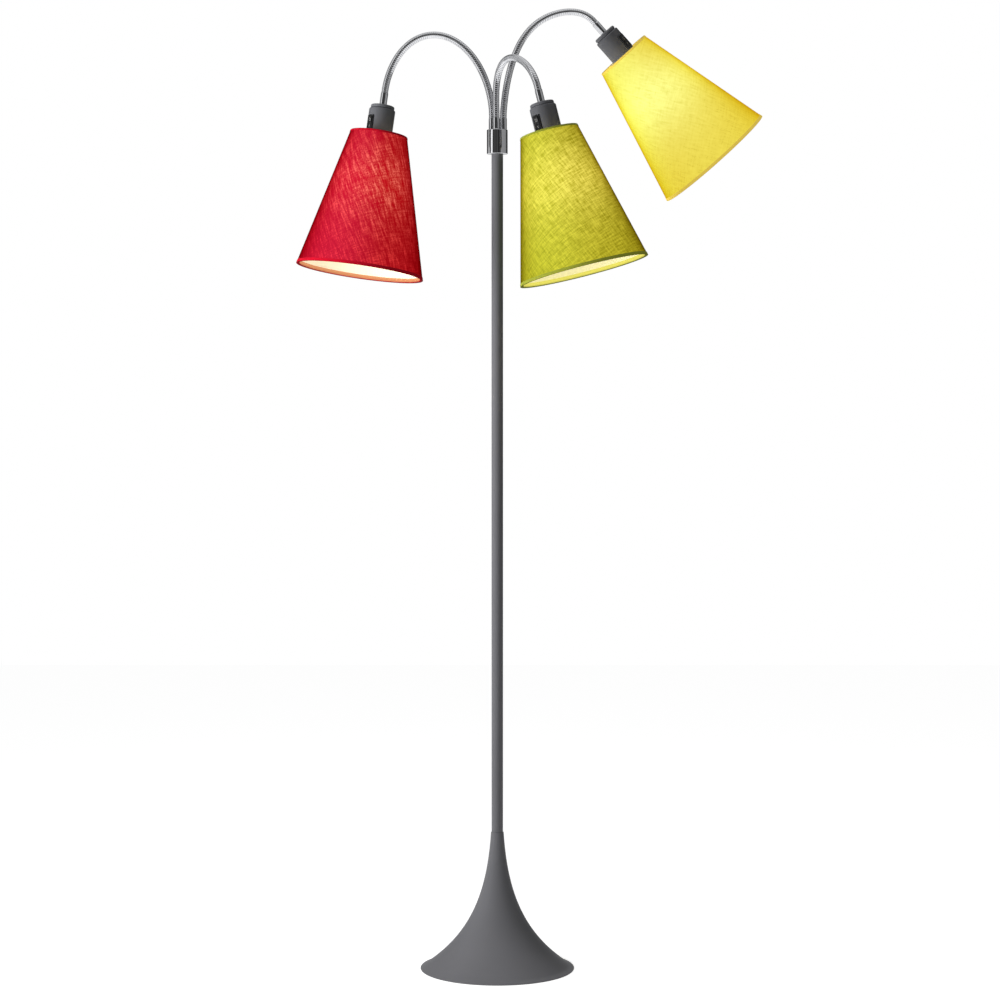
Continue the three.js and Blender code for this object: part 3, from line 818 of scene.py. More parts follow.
@dataclass(frozen=True)
class DarkRubber(Finish):
    """Matte rubber with a fine grain and a trace of dust."""

    def sockets(self, nodes: Nodes) -> dict:
        """See Finish."""
        place = nodes.object_place()
        grain = nodes.noise(place, 1800, 3, 0.6)
        dust = nodes.between(nodes.noise(place, 120, 4), 0.45, 0.8)
        return {
            "Base Color": nodes.mixed(dust, linear(26, 26, 27), linear(52, 51, 50)),
            "Roughness": 0.82 + 0.12 * grain,
            "Specular IOR Level": 0.25,
            "Normal": nodes.bump(grain, 0.00008, 0.6),
        }


@dataclass(frozen=True)
class OpalGlow(Finish):
    """The lit opal glass of a bulb, a little less bright towards its neck."""

    def sockets(self, nodes: Nodes) -> dict:
        """See Finish."""
        lit = nodes.attribute("lit")
        cloud = nodes.noise(nodes.object_place(), 60, 2)
        light = nodes.mixed(lit, linear(255, 214, 150), linear(255, 246, 224))
        return {
            "Base Color": nodes.mixed(cloud, linear(246, 242, 232), linear(255, 252, 244)),
            "Roughness": 0.3,
            "Emission Color": nodes.scaled(light, 0.55 + lit * 0.45),
            "Emission Strength": 1.0,
        }


@dataclass(frozen=True)
class Linen(Finish):
    """Linen on a cream backing, lit from inside.

    The mesh's weave map gives the place on the flat cloth, u across the warp and v along it.
    Warp and weft each have bundles of threads; grain is the knots of the threads, cloud is
    uneven thickness, and single slubs stand out. The light that comes through runs from the dim
    colour to the bright one with the value "glow", and is weighted by twice the thread or the
    gap colour; a power above 1 makes the gaps rarer. Where the cloth lies double the value
    "clear" takes light away. What leaves at a slant has passed more thread, which the tinted
    coat does.
    """

    cloth: Colour
    dim: Colour
    bright: Colour
    slant: Colour
    thread: Colour
    gap: Colour
    warp_scale: tuple[float, float]
    weft_scale: tuple[float, float]
    bundles: tuple[float, float]
    grain: float
    cloud: float
    seed: float
    power: float = 1.0
    slub_scales: tuple = ((520, 50), (64, 560))
    slub_limits: tuple[float, float] = (0.24, 0.8)
    knot_scale: tuple[float, float] = (480, 480)
    patch_scale: tuple[float, float] = (38, 30)

    def threads(self, nodes: Nodes, place: Value, scale: Sequence[float], detail: float) -> Value:
        """Noise drawn out along the threads, from about -1 to 1."""
        moved = nodes.add("Mapping", {}, {
            "Vector": place, "Location": (self.seed, self.seed * 1.7, self.seed * 0.6),
            "Scale": (*scale, 1),
        })
        return (nodes.noise(moved, 1, detail, 0.65) - 0.5) * 4

    def sockets(self, nodes: Nodes) -> dict:
        """See Finish."""
        place = nodes.weave_place()
        warp = self.threads(nodes, place, self.warp_scale, 3)
        weft = self.threads(nodes, place, self.weft_scale, 3)
        warp_slub, weft_slub = (
            nodes.between(self.threads(nodes, place, scale, 1), *self.slub_limits)
            for scale in self.slub_scales
        )
        knots = self.threads(nodes, place, self.knot_scale, 1)
        patches = self.threads(nodes, place, self.patch_scale, 2)
        light = (
            0.5 + warp * self.bundles[0] + weft * self.bundles[1]
            + knots * self.grain + patches * self.cloud
        ).clamped()
        base = nodes.scaled(self.cloth, 0.9 + light * 0.2)
        passed = nodes.mixed(nodes.attribute("glow"), (*self.dim, 1), (*self.bright, 1))
        thin = nodes.maths("POWER", light, self.power)
        weight = nodes.mixed(thin, (*self.thread, 1), (*self.gap, 1))
        shining = nodes.mixed(1.0, passed, weight, "MULTIPLY")
        height = 0.5 + (warp + weft) * 0.12 + (warp_slub + weft_slub) * 0.1
        return {
            "Base Color": base,
            "Roughness": 0.9,
            "Specular IOR Level": 0.1,
            "Coat Weight": 1.0,
            "Coat Roughness": 1.0,
            "Coat IOR": 1.01,
            "Coat Tint": (*self.slant, 1),
            "Emission Color": nodes.scaled(shining, nodes.attribute("clear")),
            "Emission Strength": 2.0,
            "Normal": nodes.bump(height, 0.00015, 0.7),
        }


@dataclass(frozen=True)
class HemTape(Finish):
    """The cloth folded round a rim: dark outside, lit by the bulb on its inner side.

    The mesh's value "inner" is 1 on the side that the bulb lights, "flap" on the loose end there
    and "under" on the side that faces away from every light, where the colour is painted darker as
    shade. The share "through" of the cloth's colour is added outside as light that comes through
    both layers. The pitches are those of the warp and the weft, in metres.
    """

    cloth: Colour
    inside: Colour
    flap: Colour
    through: float = 0.05
    pitches: tuple[float, float] = (0.00125, 0.0013)

    def sockets(self, nodes: Nodes) -> dict:
        """See Finish."""
        place = nodes.weave_place()
        across, along = (
            nodes.maths("SINE", part * (TURN / pitch))
            for part, pitch in zip(nodes.parts(place, 2), self.pitches)
        )
        over = across * along
        slub = (nodes.noise(nodes.stretched(place, (90, 900, 1)), 1, 2) - 0.5) * 4
        shade = (0.5 + over * 0.15 + slub * 0.3).clamped()
        inner, under = nodes.attribute("inner"), nodes.attribute("under")
        lit = nodes.mixed(nodes.attribute("flap"), linear(*self.inside), linear(*self.flap))
        # Painted shade: under makes the side that faces away from every light up to 45 % darker.
        away = (0.8 + shade * 0.25) * (1 - under * 0.45)
        cloth = linear(*self.cloth)[:3]
        outside = nodes.scaled(cloth, away)
        weak = nodes.scaled(cloth, away * self.through)
        return {
            "Base Color": nodes.mixed(inner, outside, nodes.scaled(lit, 0.4)),
            "Roughness": 0.92,
            "Specular IOR Level": 0.1,
            "Emission Color": nodes.mixed(inner, weak, nodes.scaled(lit, 0.62 + shade * 0.1)),
            "Emission Strength": 1.0,
            "Normal": nodes.bump(0.5 + over * 0.3 + slub * 0.1, 0.00015, 0.7),
        }


@dataclass(frozen=True)
class CreamLining(Finish):
    """The shade's smooth cream backing, the cloth's threads faintly through it, in painted bulb
    light.
    """

    deep: Colour
    pale: Colour

    def sockets(self, nodes: Nodes) -> dict:
        """See Finish."""
        place = nodes.weave_place()
        threads = nodes.noise(nodes.stretched(place, (700, 60, 1)), 1, 2)
        film = nodes.noise(place, 2500, 2)
        # Painted bulb light: the backing glows from the deep to the pale colour, scaled by the
        # value "glow".
        light = nodes.mixed(threads, linear(*self.deep), linear(*self.pale))
        return {
            "Base Color": nodes.mixed(threads, linear(238, 230, 208), linear(248, 242, 226)),
            "Roughness": 0.55 + 0.1 * film,
            "Specular IOR Level": 0.3,
            "Emission Color": nodes.scaled(light, nodes.attribute("glow")),
            "Emission Strength": 1.0,
            "Normal": nodes.bump(film, 0.00003, 0.4),
        }


FINE_GRAIN = 0.00001
GREY_PAINT = SatinPaint("satin_grey_paint", Slot.GREY_PAINT)
HOLDER_GREY = MouldedPlastic("holder_grey_plastic", Slot.HOLDER_GREY)
# The cap is the cover's plastic, painted a little paler as light falling on the holder's top.
CAP_GREY = MouldedPlastic("holder_cap_plastic", Slot.HOLDER_GREY, (116, 117, 122), rough=0.36)
GLOSS_BLACK = MouldedPlastic(
    "switch_black", Slot.BLACK_PLASTIC, (20, 20, 22), rough=0.24, grain=FINE_GRAIN, shine=0.5,
)
PALE_MARK = MouldedPlastic(
    "switch_mark_pale", Slot.BLACK_PLASTIC, (176, 176, 176), rough=0.5, grain=FINE_GRAIN,
)
CERAMIC = MouldedPlastic(
    "socket_ceramic", Slot.CERAMIC, (234, 231, 223), rough=0.4, grain=2 * FINE_GRAIN,
)
COATED_WIRE = MouldedPlastic(
    "white_coated_wire", Slot.RING_WIRE, (230, 228, 222), rough=0.38, grain=FINE_GRAIN,
)
SHEATH = MouldedPlastic("lead_sheath", Slot.LEAD_SHEATH, (222, 219, 210), rough=0.55)
CHROME = PlatedMetal("bright_chrome", Slot.CHROME)
STEEL = PlatedMetal("plain_steel", Slot.STEEL, (176, 178, 181), rough=0.28, brushed=0.15)
BRASS_CAP = PlatedMetal(
    "bulb_cap_metal", Slot.OPAL_GLASS, (206, 203, 194), rough=0.22, brushed=0.1,
)
NECK_CHROME = RibbedChrome("gooseneck_chrome", Slot.CHROME)
CAST = CastIron("cast_iron_weight", Slot.CAST_IRON)
RUBBER = DarkRubber("dark_rubber_pad", Slot.DARK_RUBBER)
OPAL = OpalGlow("opal_glow", Slot.OPAL_GLASS)


# The stand


@dataclass
class Base:
    """The spun trumpet base on its pad, with its cable inlet."""

    pad_thickness: float = 3
    wall: float = 1.5
    lip_height: float = 7
    lip_reach: float = 10.2
    lip_bead: float = 0.9
    lift: float = 0.4
    neck: float = 216
    reach: float = 134.2
    fall: float = 85.6
    inset: float = 13.3
    taper: float = 0.058
    neck_bore: float = 9.3
    grommet_radius: float = 4.3
    grommet_bore: float = 3.1
    grommet_height: float = 10
    grommet_length: float = 22
    gap: float = 0.3
    roll_start: float = 68
    roll_pulls: tuple[float, float] = (3.6, 3.8)
    treads: int = 12
    tread_depth: float = 0.25

    def radius(self, height: Union[float, Array]) -> Union[float, Array]:
        """The flare's radius: reach times e to the minus height over fall, less an inset."""
        flare = self.reach * np.exp(-np.asarray(height) / self.fall)
        return flare - self.inset + self.taper * height

    def under(self, height: Array, depth: float) -> Array:
        """Points as deep as given under the flare, along its normal."""
        slope = self.taper - self.reach / self.fall * np.exp(-height / self.fall)
        length = np.hypot(1, slope)
        return np.stack([self.radius(height) - depth / length, height + depth * slope / length], -1)

    @property
    def rim(self) -> float:
        """Radius of the rolled lip."""
        return float(self.radius(self.lip_height)) + self.lip_reach

    @property
    def grommet_ends(self) -> tuple[float, float]:
        """How far from the axis the grommet starts and ends."""
        back = self.rim - 1
        return back - self.grommet_length, back

    def shell_outline(self) -> Array:
        """The shell's outline: neck, flare and rolled lip outside, and the wall's inner side."""
        height = self.lip_height + (self.neck - self.lip_height) * np.linspace(0, 1, 64) ** 1.7
        outer = self.under(height, 0)[::-1]
        inner = self.under(height, self.wall)
        inner[:, 0] = np.maximum(inner[:, 0], self.neck_bore)
        bead = np.array([self.rim - self.lip_bead, self.lift + self.lip_bead])
        way = unit(outer[-1] - outer[-2])
        lean = math.radians(self.roll_start)
        out = np.array([math.cos(lean), math.sin(lean)])
        touch, touch_way = bead + self.lip_bead * out, np.array([-out[1], out[0]])
        first, last = self.roll_pulls
        handles = [outer[-1], outer[-1] + way * first, touch + touch_way * last, touch]
        curve = bezier(handles, np.linspace(0, 1, 14)[1:, None])
        angle = np.linspace(lean, -TURN / 4, 10)[:, None]
        roll = bead + self.lip_bead * np.concatenate([np.cos(angle), np.sin(angle)], 1)
        return_edge = np.array([[self.rim - 2.4 * self.lip_bead, self.lift]])
        top = rounded(
            [[self.neck_bore, self.neck - 2], [self.neck_bore, self.neck],
             [outer[0, 0], self.neck], [outer[0, 0], self.neck - 2]],
            [0, 0.2, 0.45, 0], closed=False,
        )
        return np.concatenate([top[1:-1], outer[2:], curve, roll[1:], return_edge, inner[1:-3]])

    def build(self) -> None:
        """Makes the shell, pad and grommet, and dresses the hidden weight and its fixings."""
        inlet_place = Placing(turn_about(0, -90), np.array([0, 0, self.grommet_height]))
        front, back = self.grommet_ends
        bore = rod(self.grommet_radius + self.gap, front - 0.1, self.rim + 3, 48)
        bore.moved(inlet_place)
        make_piece("base_shell_spun", [turned(self.shell_outline(), 192)], GREY_PAINT,
                   ["base_shell"], "stand", cutters=[bore], sharp=40)
        edge = self.under(np.array([self.lip_height]), self.wall + self.gap)[0, 0]
        pad = rounded(
            [[AXIS, 0], [edge, 0], [edge, self.pad_thickness], [AXIS, self.pad_thickness]],
            [0, 0.8, 0.8, 0], closed=False,
        )
        ridge = np.arange(self.treads)
        tread = np.stack([edge * (0.5 + ridge / 26), self.tread_depth * (ridge % 2)], -1)
        pad = np.concatenate([pad[:1], tread, pad[1:]])
        make_piece("base_pad_ribbed", [turned(pad, 128, closed=False)], RUBBER, ["base_pad"],
                   "stand")
        radius = self.grommet_radius
        grommet = lathed(
            [[self.grommet_bore, front], [radius, front], [radius, back - 3],
             [radius - 0.5, back - 2.4], [radius - 0.5, back - 1.7], [radius, back - 1.2],
             [radius - 0.3, back], [self.grommet_bore + 0.3, back],
             [self.grommet_bore, back - 0.6]],
            [0.2, 0.2, 0.2, 0.2, 0.2, 0.4, 0.5, 0.3, 0.3], 48,
        )
        make_piece("cable_grommet_bush", [grommet], RUBBER,
                   ["cable_grommet"], "stand", place=inlet_place)
        dress_node("base_weight", CAST)
        for node in ("tie_rod", "tie_nut", "pole_insert"):
            dress_node(node, STEEL)


@dataclass
class Pole:
    """The plain tube, and the lead that climbs inside it from the grommet to the terminals.

    The lead first climbs under the flare, in shares of the way from the grommet to the hole,
    and then turns up the tube, in shares of the tube's radius.
    """

    radius: float = 9
    wall: float = 1.2
    foot: float = 24.3
    top: float = 1288.6
    lead_radius: float = 2.8
    hole_height: float = 65
    climb: tuple = (
        (1, 0), (0.88, 0.036), (0.735, 0.145), (0.572, 0.345), (0.388, 0.6), (0.225, 0.818),
        (0.112, 0.945),
    )
    turn_up: tuple = ((0.667, 0.222), (0.278, 1.111), (0.067, 2.222), (0, 3.556))

    def build(self, base: Base) -> None:
        """Makes the tube and its lead.

        Args:
            base: the base, which says where the lead comes in.
        """
        tube = lathed(
            [[self.radius - self.wall, self.foot], [self.radius, self.foot],
             [self.radius, self.top], [self.radius - self.wall, self.top]],
            [0, 0.3, 0.3, 0], 96, steps=3,
        )
        make_piece("pole_tube", [tube], GREY_PAINT, ["pole"], "stand")
        front, back = base.grommet_ends
        rise = self.hole_height - base.grommet_height
        climb, turn_up = np.array(self.climb), np.array(self.turn_up)
        route = np.concatenate([
            [[back - 3, base.grommet_height]],
            climb * [front, rise] + [0, base.grommet_height],
            turn_up * self.radius + [0, self.hole_height],
            [[0, self.top - 0.3]],
        ])
        step = np.r_[0, np.cumsum(np.linalg.norm(np.diff(route, axis=0), axis=1))]
        at = np.unique(np.r_[np.linspace(0, step[-2], 90), step[-1]])
        line = Line.through(np.stack([
            0 * at, np.interp(at, step, route[:, 0]), np.interp(at, step, route[:, 1]),
        ], -1))
        tube = swept(line, np.array([1.0, 0, 0]), self.lead_radius, 20)
        make_piece("pole_lead_cord", [tube], SHEATH, ["pole_lead"], "stand")


@dataclass
class Collar:
    """The chrome collar that carries the three arms."""

    floor: float = 1276.6
    height: float = 37.6
    radius: float = 16.25
    bevel: float = 0.8
    boss: float = 12
    plate: float = 4
    chamber: float = 15
    bore: float = 9.3
    screw: float = 1.8
    socket: float = 0.8

    @property
    def top(self) -> float:
        """Height of its top."""
        return self.floor + self.height

    def build(self) -> None:
        """Makes the collar and its set screw, and dresses the terminals inside."""
        collar = lathed(
            [[AXIS, self.height - self.plate], [self.chamber, self.height - self.plate],
             [self.chamber, self.boss], [self.bore, self.boss], [self.bore, 0],
             [self.radius, 0], [self.radius, self.height], [AXIS, self.height]],
            [0, 0.5, 0.5, 0, 0.3, self.bevel, self.bevel, 0], 144, closed=False,
        )
        sideways = Placing(turn_about(0, -90), np.array([0, 0, self.boss / 2]))
        hole = rod(self.screw + 0.3, 5.0, self.radius + 2, 40).moved(sideways)
        make_piece("collar_body", [collar], CHROME,
                   ["collar"], "stand", place=raised(self.floor), cutters=[hole])
        make_piece("collar_set_screw", [self.screw_skin().moved(sideways)], STEEL,
                   ["collar_screw"], "stand", place=raised(self.floor))
        dress_node("terminal_block", CERAMIC)

    def screw_skin(self) -> Skin:
        """The set screw: a rod whose end has a six-sided socket.

        The socket's radius at an angle is its half width over the cosine of the angle from the
        middle of the nearest flat.
        """
        angle = full_turn(48)
        flat = (angle + math.pi / 6) % (math.pi / 3) - math.pi / 6
        hexagon = self.socket / np.cos(flat)
        end = self.radius + self.bevel
        rings = [
            (self.screw, self.bore), (self.screw, end - 0.35), (self.screw - 0.3, end),
            (hexagon + 0.12, end), (hexagon, end - 0.15), (hexagon, end - 1.4),
        ]
        return Skin(np.stack([around(radius, angle, height) for radius, height in rings]))


# The arms


@dataclass
class Ferrule:
    """A plain turned sleeve that stands on a plate and holds an end of the gooseneck."""

    radius: float
    length: float
    bore: float = 5.3

    def skin(self) -> Skin:
        """The sleeve, from just above the plate to its rounded rim."""
        return lathed(
            [[AXIS, 0.1], [self.radius - 0.15, 0.1], [self.radius, 0.6],
             [self.radius, self.length - 0.1], [self.bore - 0.35, self.length - 0.1],
             [self.bore - 0.35, self.length - 1.2], [AXIS, self.length - 1.2]],
            [0, 0.3, 0.3, 0.45, 0.2, 0, 0], 72, closed=False,
        )


FOOT_FERRULE = Ferrule(radius=5.6, length=18.3)
HEAD_FERRULE = Ferrule(radius=5.75, length=20)


@dataclass
class Gooseneck:
    """A flexible neck of close-wound wire, in two halves that meet at its split."""

    radius: float = 5.25
    groove: float = 0.35
    crest: float = 0.37
    pitch: float = 3.25
    sides: int = 32
    rows_a_turn: int = 18
    straight: float = 3.0
    lead_radius: float = 1.5

    def line(self, start: Array, start_way: Array, end: Array, end_way: Array,
             pulls: Sequence[float], middle: Sequence[Array]) -> Line:
        """A neck's middle line: straight at both ends, a Bezier curve of six handles between.

        Args:
            start: where it leaves its foot.
            start_way: the way that it leaves by.
            end: where it enters the head.
            end_way: the way that it comes from there.
            pulls: lengths of the first and the last handle.
            middle: the two handles between.

        Returns:
            The line.
        """
        near, far = start + start_way * self.straight, end + end_way * self.straight
        handles = [near, near + start_way * pulls[0], *middle, far + end_way * pulls[1], far]
        curve = bezier(handles, np.linspace(0, 1, 400)[:, None])
        ends = np.linspace(0, 1, 6)[:-1, None]
        return Line.through(np.concatenate([
            start + (near - start) * ends, curve, end + (far - end) * ends[::-1],
        ]))

    def ribbed(self, line: Line, side: Array) -> Skin:
        """Half a neck as flattened wire wound in a helix.

        With x the share of a turn from the nearest crest, from 0 to 1/2, the surface is level as
        far as the crest's share, and from there it falls by the groove times an eased share.
        """
        rows = int((line.length[-1] - line.length[0]) / self.pitch * self.rows_a_turn)
        even = line.spaced(rows)
        phase = even.length[:, None] / self.pitch + np.arange(self.sides) / self.sides
        x = np.abs((phase + 0.5) % 1 - 0.5)
        depth = eased((x - self.crest) / (0.5 - self.crest))
        skin = swept(even, side, self.radius - self.groove * depth, self.sides)
        skin.values["groove"] = depth
        return skin

    def build(self, arm: "Arm") -> None:
        """Makes both halves and their leads."""
        lower, upper, side = arm.neck_lines()
        halves = (
            ("lower", lower, [arm.lead_start, *lower.spaced(60).points[1:]], ("foot", "mid")),
            ("upper", upper, [*upper.spaced(60).points[:-1], arm.lead_end], ("mid", "head")),
        )
        for half, line, path, bodies in halves:
            cord = swept(Line.through(np.array(path)), side, self.lead_radius, 12)
            soft = (
                arm.piece(f"neck_{half}", [self.ribbed(line, side)], NECK_CHROME,
                          f"gooseneck_{half}", body=None, place=None, sharp=70),
                arm.piece(f"lead_cord_{half}", [cord], SHEATH, f"lead_{half}", body=None,
                          place=None),
            )
            for piece in soft:
                tuple(line.points[0] * METRES)
                tuple(line.points[-1] * METRES)
                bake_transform(piece)


@dataclass
class Switch:
    """The rocker switch in the holder's side, in a frame whose -Y looks out of the holder."""

    width: float = 14
    top: float = 26.5
    bottom: float = 1.5
    back: float = 16
    face: float = 20.9
    back_wall: float = 1.2
    border: float = 2.2
    gap: float = 0.4
    pivot: float = 19.6
    end_rise: float = 2.0
    middle_rise: float = 1.3
    keel: float = 1.2
    tilt: float = 5
    frame_edge: float = 0.55
    frame_corner: float = 1.1
    rocker_edge: float = 0.5
    rocker_corner: float = 0.5
    clearance: float = 0.3
    circle: float = 2.0
    bar: float = 1.7
    stroke: float = 0.3
    ink: float = 0.05

    @property
    def middle(self) -> float:
        """Height of its middle."""
        return (self.top + self.bottom) / 2

    @property
    def half_height(self) -> float:
        """Half its height."""
        return (self.top - self.bottom) / 2

    @property
    def rocker_half(self) -> tuple[float, float]:
        """Half the rocker's width and height."""
        inset = self.border + self.gap
        return self.width / 2 - inset, self.half_height - inset

    def window(self) -> Skin:
        """The hole that the holder's cover has for the switch."""
        width, height = self.width / 2 + self.clearance, self.half_height + self.clearance
        hole = [(width, height, 0.9, -self.back + 0.4), (width, height, 0.9, -self.face - 3)]
        return loft(hole).moved(raised(self.middle))

    def housing(self) -> Skin:
        """The frame round the rocker: out along its sides, over a rounded edge, and back in."""
        width, height, corner = self.width / 2, self.half_height, self.frame_corner
        inner_w, inner_h = width - self.border, height - self.border
        return loft([
            (width - 0.3, height - 0.3, corner, -self.back),
            (width, height, corner, -self.back - 0.3),
            *edged(width, height, corner, -self.face, self.frame_edge, 6),
            (inner_w + 0.25, inner_h + 0.25, 0.8, -self.face),
            (inner_w + 0.06, inner_h + 0.06, 0.7, -self.face + 0.1),
            (inner_w, inner_h, 0.6, -self.face + 0.35),
            (inner_w, inner_h, 0.6, -self.back - self.back_wall),
        ])

    def rise(self, height: Array) -> Array:
        """How far the rocker's face stands out from its pivot: a shallow dip towards its middle."""
        share = np.abs(height) / self.rocker_half[1]
        return self.middle_rise + (self.end_rise - self.middle_rise) * share ** 1.5

    def rocker(self) -> Skin:
        """The rocker, about its pivot: a keel behind and a dipped face with rounded edges."""
        (width, height), corner = self.rocker_half, self.rocker_corner
        skin = loft([
            (width - 0.4, height * 0.35, corner, self.keel),
            (width, height, corner, 0.4),
            *edged(width, height, corner, 0, self.rocker_edge, 5),
            *((width * s, height * s, corner * s, 0) for s in (0.86, 0.7, 0.52, 0.34, 0.16)),
        ])
        forward = eased((0.4 - skin.points[..., 1]) / 0.2 + 0.5)
        skin.points[..., 1] -= forward * self.rise(skin.points[..., 2])
        return skin

    def marks(self) -> list[Skin]:
        """The circle in the rocker's upper half and the bar in its lower half."""
        half, high = self.rocker_half[1], self.ink
        bar = loft([
            (0.42, self.bar, 0.2, high), (0.42, self.bar, 0.2, -high),
            (0.3, self.bar - 0.1, 0.1, -high - 0.01),
        ])
        near, far = self.circle - self.stroke, self.circle + self.stroke
        ring = lathed([[near, -high], [far, -high], [far, high], [near, high]], [0.03] * 4, 48,
                      steps=2)
        bar.moved(raised(-half * 0.52))
        ring.moved(Placing(turn_about(0, 90), np.array([0, 0, half * 0.5])))
        for skin in (bar, ring):
            skin.points[..., 1] -= self.rise(skin.points[..., 2])
        return [bar, ring]

    def build(self, arm: "Arm") -> None:
        """Makes the housing, and the rocker with its marks."""
        facing = arm.head.then(Placing(turn_about(2, arm.switch_angle)))
        pivot = facing.then(Placing(
            turn_about(0, self.tilt), np.array([0, -self.pivot, self.middle]),
        ))
        arm.piece("switch_frame", [self.housing()], GLOSS_BLACK,
                  "switch_housing", place=facing.then(raised(self.middle)))
        arm.piece("rocker_cap", [self.rocker()], GLOSS_BLACK,
                  "switch_rocker", "rocker", place=pivot)
        arm.piece("rocker_marks", self.marks(), PALE_MARK,
                  body="rocker", place=pivot)


@dataclass
class Holder:
    """The lampholder: cap, cover, socket and the ring that clamps the shade."""

    cover: float = 20.5
    inner: float = 18.5
    top: float = 39.3
    thread: float = 19.5
    thread_end: float = 14
    shoulder: float = 2
    cap: float = 18.5
    cap_height: float = 5.4
    gap: float = 0.3
    socket: float = 15.2
    socket_bore: float = 13.6
    socket_end: float = 16
    socket_top: float = 30
    socket_floor: float = 14
    seat_low: tuple[float, float] = (-14, -11.4)
    seat_high: float = 27.4
    clamp_outer: float = 24.5
    clamp_thickness: float = 2
    nut_outer: float = 25.5
    nut_height: float = 6.4
    nut_grips: int = 30
    neck_bore: float = 5.6
    thread_crests: int = 6
    thread_pitch: float = 1.9
    thread_depth: float = 0.35

    @property
    def cap_top(self) -> float:
        """Height of the cap's top above the shade's top edge."""
        return self.top + self.gap + self.cap_height

    @property
    def clamp_floor(self) -> float:
        """Height of the underside of the clamped ring."""
        return -self.shoulder - self.gap - self.clamp_thickness

    def cover_skin(self) -> Skin:
        """The cover: a cup with a rounded top, a fine rim line, and its threaded end below."""
        crests, sides = np.divmod(np.arange(2 * self.thread_crests), 2)
        thread = np.stack([
            self.thread - self.thread_depth * sides,
            -self.shoulder - 1.4 - (crests + sides / 2) * self.thread_pitch,
        ], -1)
        inside = self.thread - 0.4
        outside = rounded(
            [[inside, -self.shoulder], [self.cover, -self.shoulder], [self.cover, 0.6],
             [self.cover, self.top], [self.neck_bore, self.top], [self.neck_bore, self.top - 2.5],
             [self.inner, self.top - 2.5], [self.inner, -self.thread_end],
             [inside, -self.thread_end]],
            [0, 0.3, 0, 2.5, 0, 0, 1, 0, 0.2], closed=False,
        )
        return turned(np.concatenate([outside, thread[::-1]]), 120)

    def cap_skin(self) -> Skin:
        """The cap: a low disc with a rounded edge above a narrow step."""
        low, step, bore = self.top + 0.05, self.cap - 1.4, self.neck_bore
        return lathed(
            [[bore, low], [step, low], [step, low + 0.6], [self.cap, low + 0.9],
             [self.cap, self.cap_top], [bore, self.cap_top]],
            [0, 0, 0.1, 0.3, 2.7, 0], 96,
        )

    def socket_skin(self) -> Skin:
        """The insulating socket sleeve, open below, with seats at its two ends."""
        seat, low, end = self.inner - self.gap, self.seat_low, -self.socket_end
        return lathed(
            [[AXIS, self.socket_floor], [self.socket_bore, self.socket_floor],
             [self.socket_bore, end], [self.socket, end], [self.socket, low[0]], [seat, low[0]],
             [seat, low[1]], [self.socket, low[1]], [self.socket, self.seat_high],
             [seat, self.seat_high], [seat, self.socket_top], [AXIS, self.socket_top]],
            [0, 0.8, 0.5, 0.5, 0.2, 0.3, 0.3, 0.3, 0.3, 0.3, 0.5, 0], 72, closed=False,
        )

    def nut_skin(self) -> Skin:
        """The ring nut and its grips: its radius dips by a raised cosine between them."""
        high = self.clamp_floor - self.gap
        low = high - self.nut_height
        bore = self.thread + self.gap
        skin = lathed(
            [[bore, low], [self.nut_outer, low], [self.nut_outer, high], [bore, high]],
            [0.5, 0.8, 0.8, 0.3], 180,
        )
        angle = np.arctan2(skin.points[..., 1], skin.points[..., 0])
        outer = eased(np.hypot(skin.points[..., 0], skin.points[..., 1]) - 24)
        dip = 1 - outer * 0.02 * (0.5 + 0.5 * np.cos(self.nut_grips * angle)) ** 2
        skin.points[..., :2] *= dip[..., None]
        return skin

    def build(self, arm: "Arm", switch: Switch) -> list[bpy.types.Object]:
        """Makes the holder's pieces, with a window for the switch in the cover.

        Returns:
            The pieces that reach into the shade.
        """
        window = switch.window().moved(Placing(turn_about(2, arm.switch_angle)))
        arm.piece("holder_shell", [self.cover_skin()], HOLDER_GREY,
                  "holder_cover", cutters=[window])
        arm.piece("holder_lid", [self.cap_skin()], CAP_GREY, "holder_cap")
        socket = arm.piece("socket_sleeve", [self.socket_skin()], CERAMIC, "socket")
        nut = arm.piece("shade_ring_nut", [self.nut_skin()], HOLDER_GREY,
                        "shade_nut")
        arm.piece("head_sleeve", [HEAD_FERRULE.skin()], CHROME, "head_ferrule",
                  place=arm.head.then(raised(self.cap_top)))
        return [socket, nut]


